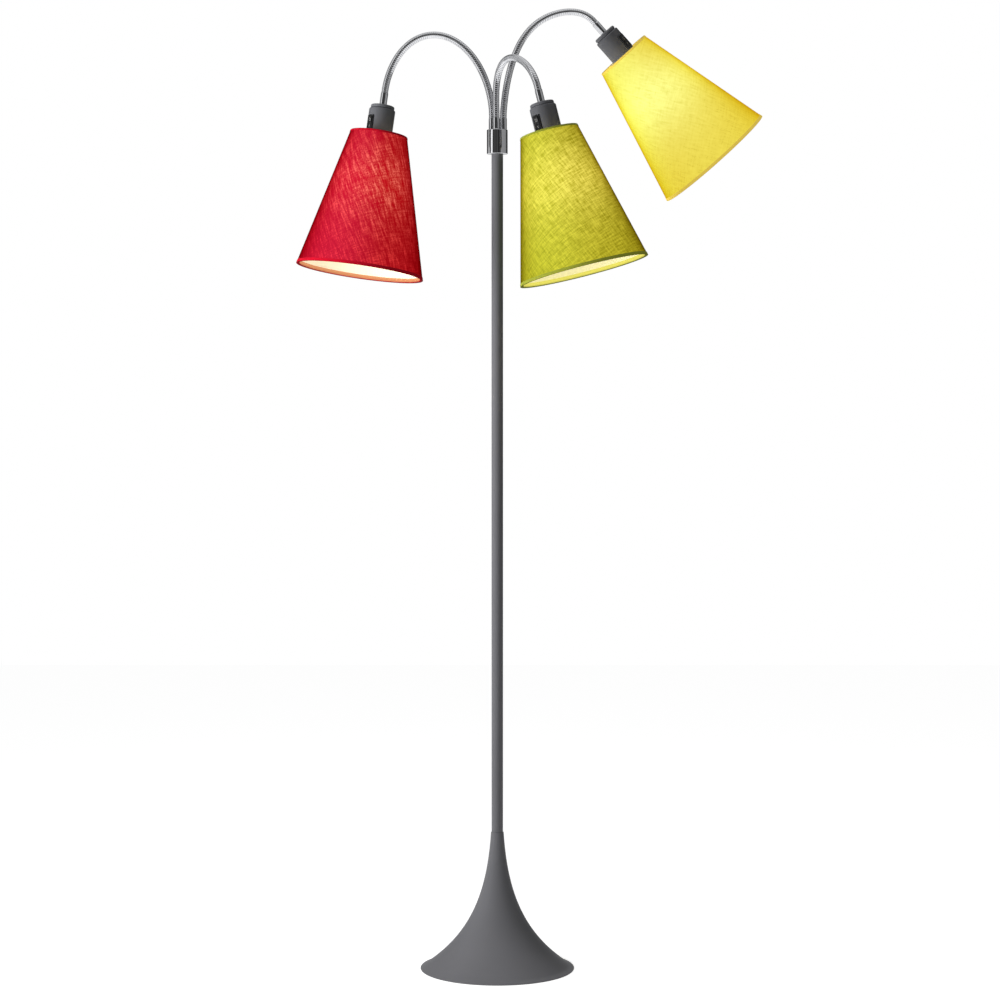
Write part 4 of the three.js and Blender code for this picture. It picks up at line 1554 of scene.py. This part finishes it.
@dataclass
class Bulb:
    """The lit bulb and its screw cap."""

    radius: float = 30
    middle: float = 66
    cap: float = 13.3
    cap_top: float = 12
    cap_end: float = -16
    contact: float = 4.5
    shoulder: float = 28
    neck_pulls: tuple[float, float] = (13, 15)
    thread_pitch: float = 3.6
    thread_depth: float = 0.9

    def glass(self) -> Skin:
        """The opal glass: a ball whose upper part eases into a neck as wide as the cap."""
        angle = np.linspace(-TURN / 4, math.radians(self.shoulder), 40)
        ball = np.stack([np.cos(angle), np.sin(angle)], -1) * self.radius - [0, self.middle]
        end = np.array([self.cap - 0.6, self.cap_end + 0.5])
        way = unit(ball[-1] - ball[-2])
        first, last = self.neck_pulls
        handles = [ball[-1], ball[-1] + way * first, end - [0, last], end]
        neck = bezier(handles, np.linspace(0, 1, 20)[1:, None])
        outline = np.concatenate([ball, neck])
        outline[0, 0] = 0.05
        skin = turned(outline, 72, closed=False)
        height = skin.points[..., 2]
        skin.values["lit"] = eased((-20 - height) / 40)
        return skin

    def screw_cap(self) -> Skin:
        """The screw cap: its radius dips by a raised cosine along each turn of the thread."""
        height = np.linspace(self.cap_end, self.cap_top - 2.5, 60)[:, None]
        climbed = height - self.cap_end
        angle = full_turn(72)
        depth = self.thread_depth * eased(climbed / 3)
        wave = np.cos(climbed / self.thread_pitch * TURN + angle)
        radius = self.cap - depth * (0.5 - 0.5 * wave)
        radius[-1] = self.cap - 2.2
        rings = around(radius, angle, height)
        low = rings[:1] * np.array([0.93, 0.93, 1])
        crown = turned(np.array([
            [6.5, self.cap_top], [self.contact, self.cap_top + 0.2],
            [self.contact, self.cap_top + 1.5], [self.contact - 1, self.cap_top + 1.7],
        ]), 72, closed=False)
        return Skin(np.concatenate([low, rings, crown.points]))

    def build(self, arm: "Arm") -> list[bpy.types.Object]:
        """Makes the glass and its cap.

        Returns:
            The glass and the cap.
        """
        return [
            arm.piece("bulb_glass", [self.glass()], OPAL, "bulb"),
            arm.piece("bulb_cap", [self.screw_cap()], BRASS_CAP),
        ]


@dataclass
class Shade:
    """The cone shade: linen on a cream backing, hems folded round two wire rings."""

    top_radius: float = 45
    bottom_radius: float = 100
    height: float = 218.5
    wall: float = 1.0
    top_hem: float = 3.2
    bottom_hem: float = 4.8
    hem_rise: float = 0.45
    cloth: float = 0.3
    overlap: float = 8
    wire: float = 1.5
    wire_gap: float = 0.3
    spoke: float = 1.25
    spokes: int = 3
    fold: float = 7.0
    columns: int = 240
    rows: int = 56
    light_depth: float = 96
    doubled: float = 0.55
    cut_back: float = 0.8
    lap_share: float = 0.03
    lap_columns: int = 14
    lining_light: tuple[float, float] = (0.33, 0.3)

    @property
    def spread(self) -> float:
        """How much the radius grows for each millimetre of depth."""
        return (self.bottom_radius - self.top_radius) / self.height

    @property
    def secant(self) -> float:
        """Slanted length of the cone for each millimetre of depth."""
        return math.hypot(1, self.spread)

    @property
    def unroll(self) -> float:
        """Angle on the flat cloth for each radian round the cone."""
        return self.spread / self.secant

    @property
    def wire_rise(self) -> float:
        """How far a ring's wire lies from the rim, to its middle."""
        return self.wire + self.wire_gap

    @property
    def wire_inset(self) -> float:
        """How far a ring's wire lies inside the hem's outer face, to its middle."""
        return self.hem_rise + (self.wall + self.wire_gap + self.wire) * self.secant

    def radius(self, depth: Union[float, Array]) -> Union[float, Array]:
        """Radius of the hems at a depth below the top edge."""
        return self.top_radius + self.spread * depth

    def glow(self, depth: Array) -> Array:
        """Light from the bulb on the wall: the cosine of its slant over the distance squared.

        It is 1 where it is strongest.
        """
        across, along = self.radius(depth), depth - self.light_depth
        distance = np.hypot(across, along)
        cosine = (across - self.spread * along) / self.secant / distance
        direct = np.maximum(cosine, 0) / distance ** 2
        return direct / direct.max()

    def unrolled(self, depth: Array, angle: Array, centre: float) -> Array:
        """The place on the flat cloth, in metres: u across the warp, v along it.

        A point lies at its slanted distance from the cone's tip, at its angle from the middle
        of the cut times the unroll share. The warp runs along the cut's right-hand edge.
        """
        slant = (self.top_radius / self.unroll) + depth * self.secant
        turn = (angle - centre) * self.unroll
        right, down = slant * np.sin(turn), slant * np.cos(turn)
        edge = math.pi * self.unroll
        across = right * math.cos(edge) - down * math.sin(edge)
        along = right * math.sin(edge) + down * math.cos(edge)
        return np.stack([across, along], -1) * METRES

    def linen(self, centre: float) -> Skin:
        """The linen: one strip round the cone whose end laps over its start.

        Its angle grows evenly from the seam round to the seam and on by the overlap. Its
        radius is the cone's less the hem's rise, and the lap is lifted by a cloth's thickness.
        """
        depth = np.linspace(self.cut_back, self.height - self.cut_back, self.rows)[:, None]
        lap = 1 - np.linspace(0, self.lap_share, self.lap_columns)
        share = np.sort(np.r_[np.linspace(0, 1, self.columns), lap])[None]
        outside = self.radius(depth) - self.hem_rise
        arc = share * (TURN * outside + self.overlap)
        angle = centre - math.pi + arc / outside
        past = arc - TURN * outside
        lift = (self.cloth + 0.02) * self.secant * eased((past + 5) / 5)
        outer = outside + lift
        inner = outer - self.cloth * self.secant
        radius = np.concatenate([outer, inner[:, ::-1]], 1)
        angles = np.concatenate([angle, angle[:, ::-1]], 1)
        depths = np.broadcast_to(depth, radius.shape)
        points = around(radius, angles, -depths)
        doubled = self.doubled * np.maximum(eased(past + 1), eased(self.overlap - arc + 0.5))
        values = {
            "glow": self.glow(depths),
            "clear": 1 - np.concatenate([doubled, doubled[:, ::-1]], 1),
        }
        weave = self.unrolled(depths, angles, centre)
        weave = np.concatenate([weave, weave[:, :1]], 1)
        return Skin(points, ends=Ends.LADDER, values=values, weave=weave)

    def round_weave(self, skin: Skin, depth: Array) -> Array:
        """A weave map for a turned skin: the way round it, and the depth, in metres."""
        rows, columns = skin.points.shape[:2]
        angle = np.arange(columns + 1) / columns * TURN
        depth = np.r_[depth, depth[:1]] if skin.closed_rows else depth
        across = self.radius(self.height / 2) * angle
        return np.stack(np.broadcast_arrays(across, depth[:, None]), -1) * METRES

    def lining(self) -> Skin:
        """The cream backing, between the linen and the inside of the wall."""
        depth = np.linspace(self.cut_back, self.height - self.cut_back, 40)
        outside = self.radius(depth) - self.hem_rise - (self.cloth + 0.03) * self.secant
        inside = self.radius(depth) - self.hem_rise - self.wall * self.secant
        outline = np.concatenate([
            np.stack([outside, -depth], -1), np.stack([inside, -depth], -1)[::-1],
        ])
        skin = turned(outline, 160)
        depths = np.concatenate([depth, depth[::-1]])
        # The backing's painted bulb light: a least level everywhere, and more where the bulb's
        # light is strongest.
        least, more = self.lining_light
        glow = least + more * self.glow(depths)
        skin.values["glow"] = np.repeat(glow[:, None], skin.points.shape[1], 1)
        skin.weave = self.round_weave(skin, depths)
        return skin

    def hem_skin(self, at_bottom: bool) -> Skin:
        """A hem: a band outside, over the rim, round the wire and a short way up the inside.

        Its outline is drawn as inward distance from the outer face and distance from the rim.
        """
        wall = self.hem_rise + self.wall * self.secant
        wire_in, wire_up = self.wire_inset, self.wire_rise
        degrees = np.linspace(-100, 108, 22)
        angle = np.radians(degrees)
        bead = wire_up - 0.02
        roll = np.stack([wire_in + bead * np.cos(angle), wire_up + bead * np.sin(angle)], -1)
        wide = self.bottom_hem if at_bottom else self.top_hem
        band = rounded(
            [[self.hem_rise - 0.02, 0.5], [self.hem_rise - 0.02, wide], [0, wide],
             [0, 0.02], [wire_in - 1, 0.02], [wire_in + 1, 0.02]],
            [0, 0, 0.15, 0.45, 0, 0], closed=False,
        )[:-1]
        flap = rounded(
            [roll[-1], [wall + 0.36, wire_up + bead + 0.9], [wall + 0.33, self.fold],
             [wall + 0.02, self.fold], [wall + 0.02, 0.5]],
            [0, 0.5, 0.15, 0, 0], closed=False,
        )[1:]
        outline = np.concatenate([band, roll, flap])
        depth = self.height - outline[:, 1] if at_bottom else outline[:, 1]
        radius = self.radius(depth) - outline[:, 0]
        skin = turned(np.stack([radius, -depth], -1), 200)
        outside, loose = np.zeros(len(band)), np.ones(len(flap))
        # The value "under" marks the underside at the rim, which the finish paints darker as shade.
        kinds = {
            "inner": [outside, eased((degrees + 45) / 45), loose],
            "under": [band[:, 1] < 0.3, eased((-30 - degrees) / 30), 0 * loose],
            "flap": [outside, 0 * degrees, loose],
        }
        for kind, parts in kinds.items():
            share = np.concatenate(parts).astype(float)
            skin.values[kind] = np.repeat(share[:, None], skin.points.shape[1], 1)
        along = np.r_[0, np.cumsum(np.linalg.norm(np.diff(outline, axis=0), axis=1))]
        skin.weave = self.round_weave(skin, along)
        return skin

    def wire_ring(self, depth: float) -> Skin:
        """A wire ring that lies inside the shade's wall at a depth."""
        angle = full_turn(14)[:, None]
        circle = self.wire * np.concatenate([np.cos(angle), np.sin(angle)], 1)
        return turned([self.radius(depth) - self.wire_inset, -depth] + circle, 144)

    def fitter(self, holder: Holder) -> list[Skin]:
        """The upper ring, the flat ring that the nut clamps, and three spokes between them."""
        floor = holder.clamp_floor
        high = floor + holder.clamp_thickness
        clamp = lathed(
            [[holder.thread + 0.3, floor], [holder.clamp_outer, floor],
             [holder.clamp_outer, high], [holder.thread + 0.3, high]],
            [0.3] * 4, 96,
        )
        depth = self.wire_rise
        outer = self.radius(depth) - self.wire_inset
        share = np.linspace(0, 1, 24)[:, None]
        near = np.array([holder.clamp_outer - self.spoke, 0, (floor + high) / 2])
        far = np.array([outer, 0, -depth])
        sag = np.array([0, 0, 0.25]) * np.sin(share * math.pi)
        line = Line.through(near + (far - near) * share + sag)
        spokes = []
        for number in range(self.spokes):
            spoke = swept(line, np.array([0, 1.0, 0]), self.spoke, 14)
            spoke.values.clear()
            spokes.append(spoke.moved(Placing(turn_about(2, 360 / self.spokes * number))))
        return [clamp, self.wire_ring(depth), *spokes]

    def build(self, arm: "Arm", holder: Holder) -> list[bpy.types.Object]:
        """Makes the linen, lining, hems, rings and fitter.

        Returns:
            The glowing pieces, then the plain ones.
        """
        centre = math.radians(-90 + arm.cut_turn)
        linen = arm.piece("shade_linen", [self.linen(centre)], arm.linen, "shade")
        lining = arm.piece("shade_lining", [self.lining()], arm.lining)
        top, bottom = (
            arm.piece(f"shade_{end}_hem", [self.hem_skin(end == "bottom")], arm.hem, sharp=50)
            for end in ("top", "bottom")
        )
        low = self.wire_ring(self.height - self.wire_rise)
        ring = arm.piece("shade_lower_wire", [low], COATED_WIRE,
                         "shade_bottom_ring")
        spider = arm.piece("shade_spider", self.fitter(holder), COATED_WIRE,
                           "shade_fitter")
        return [linen, lining, top, bottom, ring, spider]


@dataclass
class Arm:
    """One arm as it stands: where its head hangs, how its neck runs, and its colours.

    Angles are degrees. The head's place is in shares of the reach, right, back and up from the
    ferrules' top. The neck's handles are millimetres, and it parts at a share of its length.
    """

    name: str
    foot_angle: float
    lean: float
    nod: float
    head_share: tuple[float, float, float]
    pulls: tuple[float, float]
    middle: tuple[tuple[float, float], tuple[float, float]]
    split_share: float
    switch_angle: float
    cut_turn: float
    linen: Linen
    hem: HemTape
    lining: CreamLining
    reach: float = 200
    ferrule_top: float = 1332.5
    ferrule_circle: float = 10
    terminal_top: float = 1297.9
    gap: float = 0.3

    @property
    def head(self) -> Placing:
        """The holder's frame: from the middle of the shade's top edge, +Z up the holder."""
        right, back, up = (self.reach * share for share in self.head_share)
        turn = turn_about(1, -self.lean) @ turn_about(0, -self.nod)
        return Placing(turn, np.array([right, back, self.ferrule_top + up]))

    @property
    def foot(self) -> Array:
        """Where the arm's ferrule stands on the collar, at height 0."""
        angle = math.radians(self.foot_angle)
        return np.array([math.cos(angle), math.sin(angle), 0]) * self.ferrule_circle

    @property
    def lead_start(self) -> Array:
        """Where the lead leaves the terminals."""
        return self.foot + np.array([0, 0, self.terminal_top + self.gap])

    @property
    def lead_end(self) -> Array:
        """Where the lead ends on the socket."""
        return self.head(np.array([0, 0, Holder().socket_top + self.gap]))

    def neck_lines(self) -> tuple[Line, Line, Array]:
        """The middle lines of both halves of the neck, and the direction across them."""
        up = np.array([0, 0, 1.0])
        start = self.foot + up * (self.ferrule_top + self.gap)
        reach = Holder().cap_top + HEAD_FERRULE.length + self.gap
        end = self.head(np.array([0, 0, reach]))
        heading = unit((end - start) * np.array([1, 1, 0]))
        middle = [start + heading * out + up * rise for out, rise in self.middle]
        whole = Gooseneck().line(start, up, end, self.head.turn[:, 2], self.pulls, middle)
        split = whole.length[-1] * self.split_share
        lower = whole.spaced(240, end=split - self.gap / 4)
        upper = whole.spaced(240, start=split + self.gap / 4)
        return lower, upper, np.cross(heading, up)

    def piece(self, name: str, skins: Sequence[Skin], finish: Finish,
              node: Optional[str] = None, body: Optional[str] = "head",
              **more: object) -> bpy.types.Object:
        """Makes a piece of this arm, which goes where its head is unless a place is given.

        Args:
            name: its name, without the arm's.
            skins: its parts.
            finish: what it is made of.
            node: the CAD node that it stands for, without the arm's name.
            body: the body that carries it, without the arm's name.
            more: what else make_piece takes.

        Returns:
            The finished object.
        """
        replaces = [f"{self.name}_{node}"] if node else []
        rider = f"{self.name}_{body}" if body else None
        more.setdefault("place", self.head)
        return make_piece(f"{self.name}_{name}", skins, finish, replaces, rider, **more)

    def build(self) -> None:
        """Makes everything on the arm."""
        collar_top = self.ferrule_top - FOOT_FERRULE.length
        self.piece("foot_sleeve", [FOOT_FERRULE.skin()], CHROME, "foot_ferrule", "foot",
                   place=raised(collar_top).then(Placing(shift=self.foot)))
        Gooseneck().build(self)
        switch, holder = Switch(), Holder()
        within = holder.build(self, switch)
        switch.build(self)
        bulb = Bulb().build(self)
        shade = Shade().build(self, holder)
        shine_on(f"{self.name}_inside", [bulb[0], *shade[:4]], [*within, *bulb, *shade])
        for piece in (*within, *bulb, *shade):
            piece.visible_glossy = False


RED_ARM = Arm(
    "red", foot_angle=140, lean=-7.9, nod=3.8, head_share=(-0.9255, 0.114, -0.1115),
    pulls=(52.3, 36.6), middle=((28.4, 162.8), (135.9, 179.8)), split_share=0.505,
    switch_angle=-50, cut_turn=-74,
    linen=Linen(
        "red_linen", Slot.RED_CLOTH, cloth=(0.43, 0.04, 0.11), dim=(0.568, 0.014, 0.012),
        bright=(0.86, 0.21, 0.1), slant=(0.70, 0.30, 0.40),
        thread=(0.39, 0.0, 0.0), gap=(0.8, 2.0, 1.95), power=2.4,
        warp_scale=(340, 36), weft_scale=(36, 340), bundles=(0.62, 0.24), grain=0.26, cloud=0.16,
        seed=3.1,
    ),
    hem=HemTape(
        "red_hem", Slot.RED_CLOTH, cloth=(212, 18, 44), inside=(214, 140, 98),
        flap=(224, 156, 112),
    ),
    lining=CreamLining(
        "red_lining", Slot.RED_CLOTH, deep=(255, 244, 208), pale=(255, 250, 228),
    ),
)
GREEN_ARM = Arm(
    "green", foot_angle=-100, lean=14.2, nod=2.3, head_share=(0.391, -0.5, -0.1565),
    pulls=(38.5, 30.8), middle=((-16.1, 129.2), (71.5, 93.1)), split_share=0.52,
    switch_angle=-45, cut_turn=-85,
    linen=Linen(
        "green_linen", Slot.GREEN_CLOTH, cloth=(0.32, 0.46, 0.07), dim=(0.6, 0.54, 0.028),
        bright=(1.06, 0.93, 0.19), slant=(0.68, 0.64, 0.42),
        thread=(0.3, 0.29, 0.05), gap=(0.7, 0.71, 0.95),
        warp_scale=(370, 46), weft_scale=(46, 370), bundles=(0.5, 0.5), grain=0.12, cloud=0.05,
        seed=8.4,
    ),
    hem=HemTape(
        "green_hem", Slot.GREEN_CLOTH, cloth=(172, 178, 64), inside=(226, 218, 104),
        flap=(236, 230, 112), through=0.12,
    ),
    lining=CreamLining(
        "green_lining", Slot.GREEN_CLOTH, deep=(252, 247, 172), pale=(255, 252, 198),
    ),
)
YELLOW_ARM = Arm(
    "yellow", foot_angle=20, lean=42.3, nod=-5.6, head_share=(0.987, 0.2505, 0.525),
    pulls=(19.5, 53.1), middle=((12.8, 170.7), (53.0, 145.3)), split_share=0.548,
    switch_angle=48, cut_turn=-45,
    linen=Linen(
        "yellow_linen", Slot.YELLOW_CLOTH, cloth=(0.23, 0.5, 0.34), dim=(0.86, 0.69, 0.085),
        bright=(1.04, 1.03, 0.52), slant=(0.92, 0.84, 0.42),
        thread=(0.43, 0.42, 0.32), gap=(0.525, 0.53, 0.58), power=0.6,
        warp_scale=(400, 46), weft_scale=(50, 420), bundles=(0.6, 0.45), grain=0.1, cloud=0.0,
        seed=5.2,
    ),
    hem=HemTape(
        "yellow_hem", Slot.YELLOW_CLOTH, cloth=(244, 212, 90), inside=(244, 214, 100),
        flap=(255, 244, 160), through=0.55,
    ),
    lining=CreamLining(
        "yellow_lining", Slot.YELLOW_CLOTH, deep=(255, 247, 176), pale=(255, 252, 200),
    ),
)


# The studio


@dataclass
class Studio:
    """The pale floor, the light and the camera.

    The panels are what reflections see round the horizon, as shares of a turn and brightness.
    """

    camera_place: tuple[float, float, float] = (0.00421, -3.9, 0.8947)
    camera_tip: float = 2.297
    lens: float = 89.83
    sensor: float = 36
    ambient: float = 0.2
    ambient_fall: float = 0.6
    floor_light: float = 0.82
    floor_size: float = 9.0
    panels: tuple[tuple[float, float], ...] = (
        (0.0, 0.6), (0.03, 0.6), (0.05, 0.03), (0.15, 0.03), (0.165, 0.55), (0.25, 0.5),
        (0.258, 0.05), (0.29, 0.04), (0.30, 1.3), (0.345, 1.3), (0.352, 0.03), (0.43, 0.07),
        (0.47, 0.03), (0.5, 0.09), (0.53, 0.02), (0.60, 0.06), (0.62, 0.34), (0.80, 0.30),
        (0.83, 0.02), (0.93, 0.04), (0.96, 0.6), (1.0, 0.6),
    )
    ceiling: float = 0.75
    ceiling_start: tuple[float, float] = (0.6, 0.9)

    def camera(self) -> None:
        """Sets the camera where the photograph was taken from."""
        data = bpy.data.cameras.new("camera")
        data.lens = self.lens
        data.sensor_width = self.sensor
        made = bpy.data.objects.new("camera", data)
        made.location = self.camera_place
        made.rotation_euler = (math.radians(90 - self.camera_tip), 0, 0)
        bpy.context.scene.collection.objects.link(made)
        bpy.context.scene.camera = made

    def softbox(self, name: str, place: Sequence[float], target: Sequence[float],
                size: tuple[float, float], level: float) -> None:
        """Adds a soft rectangular lamp that reflections don't show.

        Args:
            name: its name.
            place: where it stands, in metres.
            target: what it points at.
            size: width and height.
            level: the brightness that it gives to a white surface facing it at the target.
        """
        away = np.array(target, float) - np.array(place, float)
        data = bpy.data.lights.new(name, "AREA")
        data.shape = "RECTANGLE"
        data.size, data.size_y = size
        data.energy = level * math.pi ** 2 * float(away @ away)
        made = bpy.data.objects.new(name, data)
        made.location = place
        heading = math.atan2(-away[0], away[1])
        tip = math.atan2(away[2], math.hypot(away[0], away[1]))
        made.rotation_euler = (math.pi / 2 + tip, 0, heading)
        made.visible_glossy = False
        made.visible_camera = False
        bpy.context.scene.collection.objects.link(made)

    def world(self) -> None:
        """White to the camera and to glass; reflections see the studio's panels and flags."""
        world = bpy.data.worlds.new("studio")
        bpy.context.scene.world = world
        world.use_nodes = True
        nodes = Nodes(world.node_tree)
        way = nodes.add("TexCoord", out="Generated")
        x, y, z = nodes.parts(way, 3)
        heading = nodes.maths("ARCTAN2", x, y * -1) / TURN + 0.5
        stops = [(place, grey(level)) for place, level in self.panels]
        panels = nodes.add("ValToRGB", {}, {0: heading}, stops=stops)
        seen = nodes.mixed(nodes.between(z, *self.ceiling_start), panels, grey(self.ceiling))
        around_it = nodes.scaled([self.ambient] * 3, 1 - x * self.ambient_fall)
        colour = nodes.mixed(nodes.rays("Glossy"), around_it, seen)
        colour = nodes.mixed(nodes.rays("Camera", "Transmission"), colour, grey(1))
        back = nodes.add("Background", {}, {"Color": colour, "Strength": 1.0})
        nodes.surface("OutputWorld", back)

    def floor(self) -> None:
        """A pale floor that looks white to the camera and keeps a faint shadow."""
        half = self.floor_size / 2 / METRES
        share = np.linspace(-half, half, 3)
        x, y = np.meshgrid(share, share, indexing="ij")
        skin = Skin(np.stack([x, y, 0 * x], -1)[::-1], closed_columns=False, ends=Ends.OPEN)
        made = make_mesh("floor", [skin], Placing(), 35)
        material = bpy.data.materials.new("pale_floor")
        material.use_nodes = True
        nodes = Nodes(material.node_tree)
        grain = nodes.noise(nodes.object_place(), 300, 2)
        pale = nodes.mixed(grain, grey(0.78), grey(0.8))
        plain = nodes.add("BsdfDiffuse", {}, {"Color": pale})
        light = nodes.add("Emission", {}, {"Color": grey(1), "Strength": self.floor_light})
        lit = nodes.add("AddShader", {}, {0: plain, 1: light})
        seen = nodes.rays("Camera", "Glossy", "Transmission")
        shader = nodes.add("MixShader", {}, {0: seen, 1: plain, 2: lit})
        nodes.surface("OutputMaterial", shader)
        made.data.materials.append(material)
        made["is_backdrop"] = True

    def build(self) -> None:
        """Sets up the whole studio."""
        bpy.context.scene.view_settings.view_transform = "Standard"
        self.camera()
        self.world()
        self.floor()
        self.softbox("key", (-1.02, -0.48, 0.95), (0, 0, 0.85), (0.4, 0.7), 0.84)
        self.softbox("top", (-1.0, -0.5, 2.6), (0, 0, 0.6), (1.2, 1.2), 0.1)


def write_size() -> None:
    """Works out the box of the CAD model and that of the dressed one."""
    def plain(box: object) -> list[list[float]]:
        """A box as lists of numbers."""
        return [[float(number) for number in corner] for corner in box]

    {"cad": plain(cad_box), "visual": plain(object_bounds())}


def main() -> None:
    """Builds the studio and the lamp."""
    logging.basicConfig(level=logging.INFO, format="%(name)s: %(message)s")
    Studio().build()
    base = Base()
    base.build()
    Pole().build(base)
    Collar().build()
    for arm in (RED_ARM, GREEN_ARM, YELLOW_ARM):
        arm.build()
    write_size()


if __name__ == "__main__":
    main()
